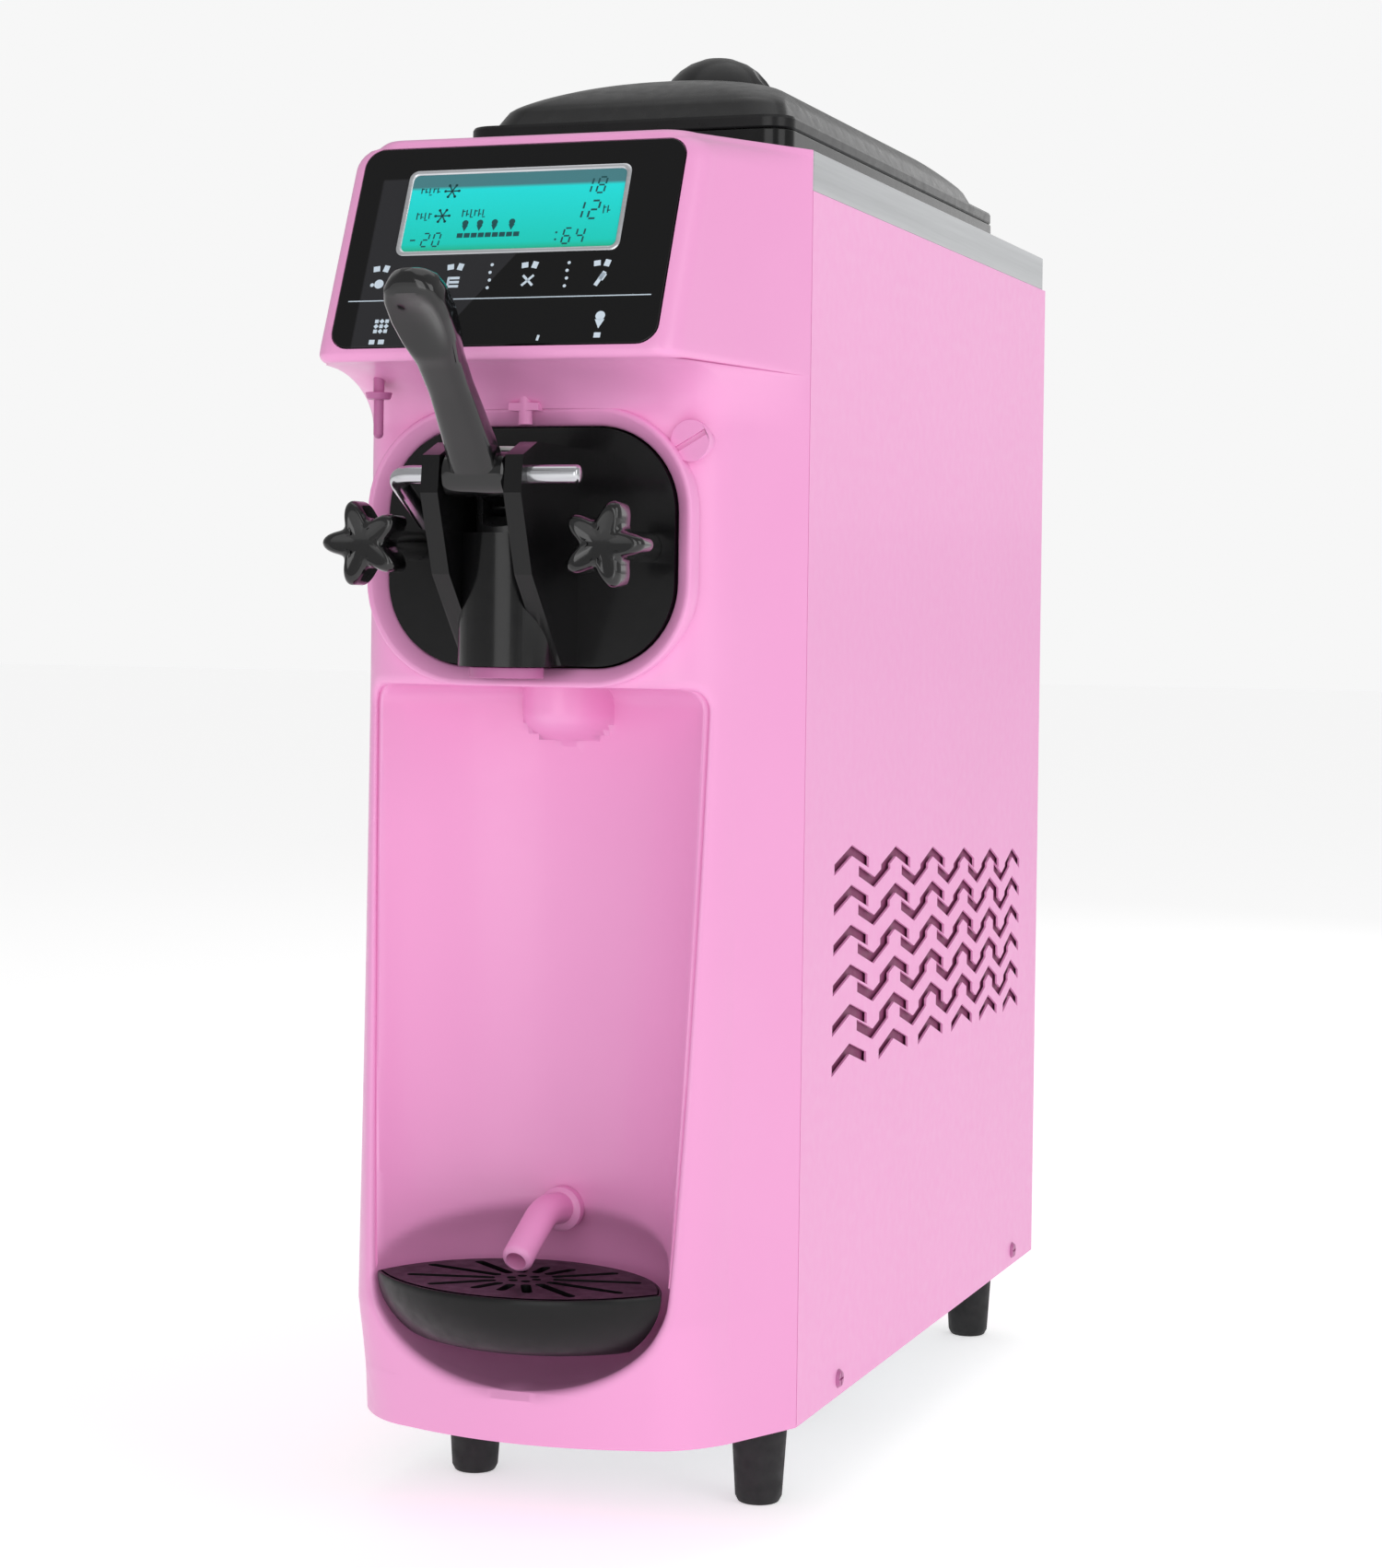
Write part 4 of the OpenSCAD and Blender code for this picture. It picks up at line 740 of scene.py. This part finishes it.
def softened(node, body, bevel, finish=None):
    """A piece with a CAD node's own shape, its edges rounded by a small bevel."""
    mesh = NODES[node].data.copy()
    mesh.transform(NODES[node].matrix_world)
    bm = bmesh.new()
    bm.from_mesh(mesh)
    bmesh.ops.remove_doubles(bm, verts=bm.verts, dist=1e-6)
    bmesh.ops.dissolve_limit(bm, angle_limit=math.radians(0.4), verts=bm.verts, edges=bm.edges)
    bm.to_mesh(mesh)
    bm.free()
    obj = bpy.data.objects.new(node + "_look", mesh)
    bpy.context.scene.collection.objects.link(obj)
    slot = SLOTS[node]
    dress(obj, finish or slot, body, slot=slot, replaces=[node], sharp=32, bevel=bevel)


# ---------------------------------------------------------------- control panel

LCD = {"half_w": 52.0, "low": 46.0, "high": 88.0}


def bar(u, v, w, h, turn=0.0):
    """The outline of a w by h bar, turned by some degrees."""
    c, s = math.cos(math.radians(turn)), math.sin(math.radians(turn))
    corners = [(w / 2, h / 2), (-w / 2, h / 2), (-w / 2, -h / 2), (w / 2, -h / 2)]
    return [(u + a * c - b * s, v + a * s + b * c) for a, b in corners]


def dot(u, v, r):
    return [(u + r * math.cos(a), v + r * math.sin(a)) for a in circle_angles(18)]


SEGMENTS = {
    "a": (0, 0.5), "b": (0.5, 0.25), "c": (0.5, -0.25), "d": (0, -0.5),
    "e": (-0.5, -0.25), "f": (-0.5, 0.25), "g": (0, 0),
}
LIT = {"1": "bc", "2": "abged", "4": "fgbc", "6": "afgedc", "8": "abcdefg", "0": "abcdef"}


def number(digits, u, v, h):
    """A seven-segment number, leaning a little to the right. u, v is the middle of its first digit."""
    w = h * 0.46
    marks = []
    for i, value in enumerate(digits):
        for key in LIT[value]:
            across, up = SEGMENTS[key]
            flat, upright = ((w * 0.72, h * 0.1), 0), ((h * 0.1, h * 0.36), -7)
            size, turn = flat if key in "adg" else upright
            middle = (u + i * h * 0.82 + across * w + up * h * 0.12, v + up * h)
            marks.append(bar(*middle, *size, turn))
    return marks


def strokes(u, v, count, tall=2.6):
    """A small word-sized mark made of plain strokes."""
    marks = []
    for i in range(count):
        marks.append(bar(u + i * 1.9, v, 0.55, tall - 0.5 * (i % 2)))
        marks.append(bar(u + 0.5 + i * 1.9, v + 0.9 - 1.5 * (i % 3), 1.3, 0.45))
    return marks


def snowflake(u, v, size):
    marks = [bar(u, v, size, size * 0.09, turn) for turn in (0, 60, 120)]
    for turn in range(0, 360, 60):
        c, s = math.cos(math.radians(turn)), math.sin(math.radians(turn))
        marks.append(dot(u + size * 0.42 * c, v + size * 0.42 * s, size * 0.085))
    return marks


def cone(u, v, size):
    """An ice cream cone with one scoop."""
    tip = [(u - 0.3 * size, v), (u, v - 0.6 * size), (u + 0.3 * size, v)]
    return [tip, dot(u, v + 0.24 * size, 0.3 * size)]


def lcd_marks():
    marks = strokes(-45, 78, 5) + snowflake(-30.5, 77.5, 7.6) + number("18", 33, 78, 7.6)
    marks += strokes(-45, 65.5, 4, 3.4) + snowflake(-33, 65.3, 7.6)
    marks += strokes(-23.5, 66.3, 6, 3.6) + number("12", 30.5, 66, 8.6) + strokes(42, 66, 2, 4)
    for u in (-21.4, -14.5, -7.6, 0.5):
        marks += cone(u, 60.2, 4.8)
    marks += [bar(-23 + i * 3.3, 55.3, 2.7, 2.2) for i in range(9)]
    marks += number("20", -39, 53.6, 6.4) + number("64", 27, 53.6, 7.4)
    return marks + [dot(22, 52, 0.5), dot(22, 55.4, 0.5), bar(-45, 53.6, 2.4, 0.7)]


def touch_icons():
    marks = []
    for u in (-57, -22, 12.6, 45.7):
        marks += [bar(u - 2.4, 40, 3, 2.6, 8), bar(u + 2.2, 40, 2.6, 3.2, -14)]
    marks += [dot(-57, 32.6, 2.2), dot(-60.2, 32.2, 0.9)]
    marks += [bar(-22, 32.6, 5.4, 1.2), bar(-22, 34.6, 5.4, 1.2)]
    marks += [bar(-22, 30.6, 5.4, 1.2), bar(-24.4, 32.6, 1.0, 5)]
    marks += [bar(12.6, 32.6, 7, 1.1, 45), bar(12.6, 32.6, 7, 1.1, -45)]
    marks += [bar(45.7, 32.6, 1.8, 7.4, -28), bar(46.6, 33.6, 2.6, 3.4, -28)]
    for u in (-5.5, 30):
        marks += [dot(u + 0.35 * (i % 2), 29.5 + 3.7 * i, 0.75) for i in range(4)]
    marks.append(bar(0, 24.4, 140, 0.45))
    for i in range(3):
        for k in range(3):
            marks.append(bar(-54.4 + 2.4 * i, 9.6 + 2.4 * k, 1.7, 1.7, 45 * ((i + k) % 2)))
    marks += [bar(-55, 4.4, 2.6, 2.2), bar(-50.6, 4.4, 2.8, 2.2)]
    return marks + cone(48.7, 13.2, 7.2) + [bar(48.7, 5.8, 3, 2.4), bar(22, 5, 1.1, 2.6, -10)]


def control_panel():
    """The glass, and on it the display in its raised frame and the printed marks."""
    middle, tall = (LCD["low"] + LCD["high"]) / 2, LCD["high"] - LCD["low"]
    glass_top, face_top = 0.58, 0.72
    rings = []
    for w, inset in ((0.5, 0), (1.0, 0), (1.35, 0.5), (1.35, 1.4), (1.0, 2.1), (0.62, 2.2)):
        outline = round_rect(2 * (LCD["half_w"] - inset), tall - 2 * inset, 4 - inset * 0.6, 6)
        rings.append([on_panel(u, v + middle, w) for u, v in outline])
    piece("lcd_frame", loft(rings, "joined"), "silver_frame", "machine", sharp=50)
    face = [(u, v + middle) for u, v in round_rect(2 * LCD["half_w"] - 4.2, tall - 4.2, 2.6, 6)]
    face = prism(face, glass_top, face_top, on_panel)
    piece("lcd_face", face, "display", "machine", slot="display")
    marks = [prism(outline, face_top, 0.79, on_panel) for outline in lcd_marks()]
    piece("lcd_marks", joined(*marks), "lcd_ink", "machine")
    icons = [prism(outline, glass_top, 0.66, on_panel) for outline in touch_icons()]
    piece("panel_icons", joined(*icons), "icon_ink", "machine")
    softened("control_glass", "machine", 0.5)


# ---------------------------------------------------------------- dispensing lever

PIVOT = {"reach": 123.0, "z": AXIS_Z + 29}
LEAN = math.radians(44)
PIN_R = 4.0


def on_lever(x, s, n):
    """A point on the lever: s along the grip from the pivot, n towards its upper side."""
    reach = PIVOT["reach"] + s * math.sin(LEAN) - n * math.cos(LEAN)
    return at(x, reach, PIVOT["z"] + s * math.cos(LEAN) + n * math.sin(LEAN))


def grip_size(s):
    """Half width and half thickness of the lever, s along it: a plain arm, then a paddle."""
    along = [4, 20, 46, 62, 74, 86, 96, 102, 106, 108.4]
    half_w = np.interp(s, along, [11.4, 10.4, 9.2, 9.8, 12.2, 13.4, 13, 11.2, 7.6, 2.4])
    half_t = np.interp(s, along, [8, 7.2, 6.4, 6.6, 7.8, 8.4, 8.2, 7.0, 4.6, 1.4])
    return half_w, half_t


def grip_ring(s):
    """One cross-section of the lever, with the hollow in the underside of its paddle."""
    half_w, half_t = grip_size(s)
    dish = 0.62 * max(0.0, 1 - ((s - 85) / 17) ** 2)
    arch = 2.0 * math.sin(math.pi * min(1, s / 100))
    ring = []
    for a in circle_angles(48):
        c, v = math.cos(a), math.sin(a)
        x = half_w * math.copysign(abs(c) ** 0.55, c)
        n = half_t * math.copysign(abs(v) ** 0.62, v)
        if n < 0:
            n *= 1 - dish * max(0.0, 1 - (x / (half_w * 0.82)) ** 2)
        ring.append(on_lever(x, s, n + arch))
    return ring


def dispense_lever():
    """The grip, its hub on the pin, and the finger that lifts the plunger."""
    along = [*np.linspace(4, 60, 18), *np.linspace(62, 102, 24)]
    along += [103.6, 105.2, 106.4, 107.4, 108.1, 108.4]
    grip = raw("lever_grip", loft([grip_ring(s) for s in along]))
    droop = math.radians(20)
    length = 31 / math.cos(droop)

    def sideways(u, v, w):
        return at(w, PIVOT["reach"] + u, PIVOT["z"] + v)

    def finger(u, v, w):
        back = u * math.cos(droop) - v * math.sin(droop)
        down = u * math.sin(droop) + v * math.cos(droop)
        return at(w, PIVOT["reach"] - back, PIVOT["z"] - down)

    def fingertip(u, v, w):
        return finger(length + u, v, w)

    hub = turned([(8.3, -14.6), (9.5, -13.4), (9.5, 13.4), (8.3, 14.6)], sideways)
    arm = prism([(5, -3), (length, -3), (length, 3), (5, 3)], -6.4, 6.4, finger)
    tip = turned([(4.4, -6.4), (5, -5.8), (5, 5.8), (4.4, 6.4)], fingertip)
    combine(grip, "UNION", hub, arm, tip)
    combine(grip, "DIFFERENCE", turned([(PIN_R + 0.05, -20), (PIN_R + 0.05, 20)], sideways))
    dress(grip, "handle_gloss", "lever", slot="black_gloss", replaces=["dispense_lever"], sharp=38)


# ---------------------------------------------------------------- star knobs and pivot pin


STUD_X = 55.0
STUD_R = 4.0


def star_knob(hand, side, turn):
    """A five-lobed knob with a dimpled face, on its stud. turn is the first lobe's, in degrees."""
    node = "star_knob_" + hand
    face, end = (-corner.y for corner in box_mm(node))

    def ring(depth, size):
        """A ring some depth behind the face; size(a) is its radius."""
        return [
            at(side * STUD_X + size(a) * math.cos(a), face - depth, AXIS_Z - size(a) * math.sin(a))
            for a in circle_angles(100)
        ]

    def star(depth, inset):
        def size(a):
            return 11.0 + 7.9 * (0.5 + 0.5 * math.cos(5 * (a - math.radians(turn)))) ** 1.15 - inset

        return ring(depth, size)

    def disc(depth, radius):
        return ring(depth, lambda a: radius)

    front_edge, back_edge = np.linspace(0.3, math.pi / 2, 7), np.linspace(0.0, 1.35, 6)
    rings = [disc(1.9, 3.5), disc(1.5, 7.0), star(0.45, 5.2)]
    rings += [star(4.2 - 4.2 * math.cos(a), 4.2 - 4.2 * math.sin(a)) for a in front_edge]
    rings += [star(13 + 3 * math.sin(a), 3 - 3 * math.cos(a)) for a in back_edge]
    rings += [disc(16.2, 10), disc(19, 7.6), disc(22, 6.5), disc(face - end, 6.5)]
    rings += [disc(face - end, STUD_R + 0.05), disc(20, STUD_R + 0.05)]
    body, look = "knob_" + hand, node + "_look"
    piece(look, loft(rings), "handle_gloss", body, slot="black_gloss", replaces=[node], sharp=60)


def pivot_pin():
    """A rod through the yoke, bent back at its left end."""
    reach, z = PIVOT["reach"], PIVOT["z"]
    droop, leg = math.radians(29), 39
    end = at(-40, reach - leg * math.cos(droop), z - leg * math.sin(droop))
    path = bent_path([at(44, reach, z), at(-12, reach, z), at(-40, reach, z), end], 9)
    rod = tube(path, PIN_R, 32)
    piece("pivot_pin_look", rod, "bright_steel", "pin", slot="bright_steel", replaces=["pivot_pin"])


# ---------------------------------------------------------------- hopper lid


LID_TOP = 695
CROWN_Z = 675.6
GRIP_Y = 172


def hopper_lid():
    """A thin flanged cover that swells to a low crown, and a domed grip scooped at each side."""
    low, high = box_mm("hopper_lid")
    wide, y0, y1, z0 = high.x - low.x, low.y, high.y, low.z

    def slab(inset_x, inset_front, inset_rear, z, r):
        outline = round_rect(wide - 2 * inset_x, y1 - y0 - inset_front - inset_rear, r, 10)
        middle = (y0 + inset_front + y1 - inset_rear) / 2
        return [at(u, -(middle + v), z) for u, v in outline]

    rings = [slab(0.8, 0.8, 0.8, z0, 12), slab(0, 0, 0, z0 + 0.9, 13), slab(0, 0, 0, z0 + 4.9, 13)]
    rings += [slab(0.7, 0.7, 0.7, z0 + 6.2, 12.6), slab(5, 5.5, 6, z0 + 6.6, 14)]
    # Along the skin from the flange: first a steep kerb, then the crown.
    kerb, rim = 10, 142
    along = [0, 4.8, kerb, 42, 90, rim]
    inset = {
        "x": [7, 8.8, 11, 22, 42, 61],
        "front": [8, 11, 14, 34, 66, 102],
        "rear": [9, 12, 15, 50, 114, 175],
        "corner": [16, 17, 18, 30, 36, 20],
    }
    crown_low = z0 + 15.6
    for t in [*np.linspace(0, kerb, 7), *np.linspace(14, rim, 26)]:
        x, ahead, rear, r = (np.interp(t, along, values) for values in inset.values())
        z = np.interp(t, along[:3], [z0 + 6.6, z0 + 11, crown_low])
        if t > kerb:
            rise = math.sin(math.pi / 2 * ((t - kerb) / (rim - kerb)) ** 0.82)
            z = crown_low + (CROWN_Z - crown_low) * rise
        rings.append(slab(x, ahead, rear, z, r))
    verts, faces = loft(rings, "open")
    faces.append(tuple(range(len(verts) - len(rings[0]), len(verts))))
    lid = raw("hopper_lid_look", (verts, faces))
    thicken(lid, 2.4)
    dress(lid, "black_satin", "lid", slot="black_gloss", replaces=["hopper_lid"], sharp=28)
    dome = [(0.5, 0), (8, 1.1), (15, 3.9), (20, 7.3), (24, 11.4), (27.5, 16.6), (30, 21.6), (31, 27)]
    dome = [(r, LID_TOP - down) for r, down in dome]
    knob = raw("lid_knob", turned(dome, lambda u, v, w: at(u, -(GRIP_Y + v), w), 72))
    ball = [(22 * math.sin(a), 22 * math.cos(a)) for a in np.linspace(0.02, math.pi - 0.02, 30)]
    for x in (-40, 40):
        scoop = turned(ball, lambda u, v, w: at(x + u, -(GRIP_Y + v), LID_TOP + w), 60)
        combine(knob, "DIFFERENCE", scoop)
    dress(knob, "black_satin", "lid", slot="black_gloss", sharp=30)


# ---------------------------------------------------------------- drain spout, vents and the rest


# The tray's plan is the overlap of two circles: one bounds it at the back and one at the front.
TRAY_BACK = {"centre": 89.3, "radius": 70.1}
TRAY_FRONT = {"centre": 21, "radius": 85}


def lens(inset, z, count=40):
    """The tray's plan at one height, some millimetres inside its rim."""
    back, ahead = TRAY_BACK["radius"] - inset, TRAY_FRONT["radius"] - inset
    gap = TRAY_BACK["centre"] - TRAY_FRONT["centre"]
    along = (gap**2 + back**2 - ahead**2) / (2 * gap)
    tip = math.sqrt(back**2 - along**2) - 0.01
    xs = [tip * math.sin(math.pi / 2 * k / count) for k in range(-count, count + 1)]
    rim = [at(x, TRAY_FRONT["centre"] + math.sqrt(ahead**2 - x**2), z) for x in xs]
    return rim + [at(x, TRAY_BACK["centre"] - math.sqrt(back**2 - x**2), z) for x in xs[-2:0:-1]]


def drip_tray():
    """A bowl with a ledge inside its rim for the grille."""
    z0, z1, steps = BASE_Z + 42, BASE_Z + 70, 14
    shares = [k / steps for k in range(1, steps + 1)]
    curve = [1 - math.sin(math.pi / 2 * t) ** 0.9 for t in shares]
    outside = [
        lens(0.6 + 16 * c, z0 + 0.4 + (z1 - z0 - 1) * t**1.15) for t, c in zip(shares, curve)
    ]
    inside = [lens(4.4 + 15.5 * c, z0 + 2.8 + (z1 - z0 - 6.5) * t) for t, c in zip(shares, curve)]
    rings = [lens(25, z0), lens(19, z0 + 0.2), *outside]
    rings += [lens(1.0, z1), lens(1.9, z1), lens(2.0, z1 - 2.8), lens(3.6, z1 - 3)]
    rings += [*inside[::-1], lens(27, z0 + 2.5)]
    look, tray = "drip_tray_look", loft(rings)
    piece(look, tray, "black_tray", "tray", slot="black_tray", replaces=["drip_tray"], sharp=50)


def drain_spout():
    """A pipe that leaves a collar in the recess wall and turns down over the tray."""
    path = bent_path([at(0, -4, 143), at(0, 24, 143.4), at(0, 41, 146), at(0, 71, 130)], 9)
    spout = raw("drain_spout_look", tube(path, 7.0, 36))
    tip = (path[-1] - path[-2]).normalized()
    side = Vector((1, 0, 0))
    other = tip.cross(side)

    def mouth(u, v, w):
        return path[-1] + (side * u + other * v + tip * w) * MM

    combine(spout, "DIFFERENCE", turned([(4.6, -14), (4.6, 12)], mouth, 36))
    dress(spout, "pink_plastic", "machine", slot="pink_plastic", replaces=["drain_spout"], sharp=40)
    profile = [(8.8, 17.6), (10, 18.4), (10, 23), (8.6, 24.2), (7, 24.4)]
    collar = turned(profile, lambda u, v, w: at(u, w, 143 + v))
    piece("drain_collar", collar, "pink_plastic", "machine", slot="pink_plastic")


def valve_plunger():
    """The plunger, with a pale cap on its top."""
    softened("valve_plunger", "plunger", 0.5, finish="dark_acetal")
    top = box_mm("valve_plunger")[1].z
    profile = [(0.4, 0.02), (10.2, 0.02), (10.8, 0.4), (10.8, 1.6), (10.2, 2.1), (0.4, 2.3)]
    cap = turned(profile, lambda u, v, w: at(u, 92 + v, top + w))
    piece("plunger_cap", cap, "plunger_plastic", "plunger", slot="plunger_plastic")


def vent_backs():
    """Dark sheets just behind the side panels, seen through the vents: their dark magenta is painted
    shade for the inside of the vents.
    """
    corners = [(-40, 200), (-430, 180), (-430, 300), (-40, 322)]
    for hand, side in (("left", -1), ("right", 1)):
        xs = side * (HALF_W - 3.4), side * (HALF_W - 2.6)
        sheet = loft([[at(x, reach, z) for reach, z in corners] for x in xs])
        piece("vent_back_" + hand, sheet, "vent_shade", "machine", slot="pink_panel")


FINISHES = make_materials()
SLOTS = {part["node"]: part["material_slot"] for part in frame["record"]["subparts"]}
add_camera()
add_studio()
for name, node in NODES.items():
    node.data.materials.clear()
    node.data.materials.append(FINISHES[SLOTS[name]])
front_cover()
control_panel()
dispense_lever()
star_knob("left", -1, -36)
star_knob("right", 1, 0)
pivot_pin()
hopper_lid()
drip_tray()
drain_spout()
vent_backs()
softened("nozzle_cap", "nozzle", 0.5, finish="dark_pink_plastic")
softened("panel_screws", "machine", 0.25, finish="dark_pink_plastic")
valve_plunger()
for node, body, bevel in (
    ("door_block", "door", 1.1),
    ("hopper_frame", "machine", 1.6),
    ("drip_grille", "grille", 0.5),
    ("side_panel_left", "machine", 0.55),
    ("side_panel_right", "machine", 0.55),
    ("top_deck", "machine", 0.4),
    ("cover_lock", "machine", 0.6),
    ("brush_hook", "machine", 0.4),
    ("cover_clip", "machine", 0.5),
    ("rubber_feet", "machine", 0.8),
    ("rear_panel", "machine", 0.4),
    ("mains_inlet", "machine", 0.5),
    ("power_switch", "switch", 0.4),
):
    softened(node, body, bevel)
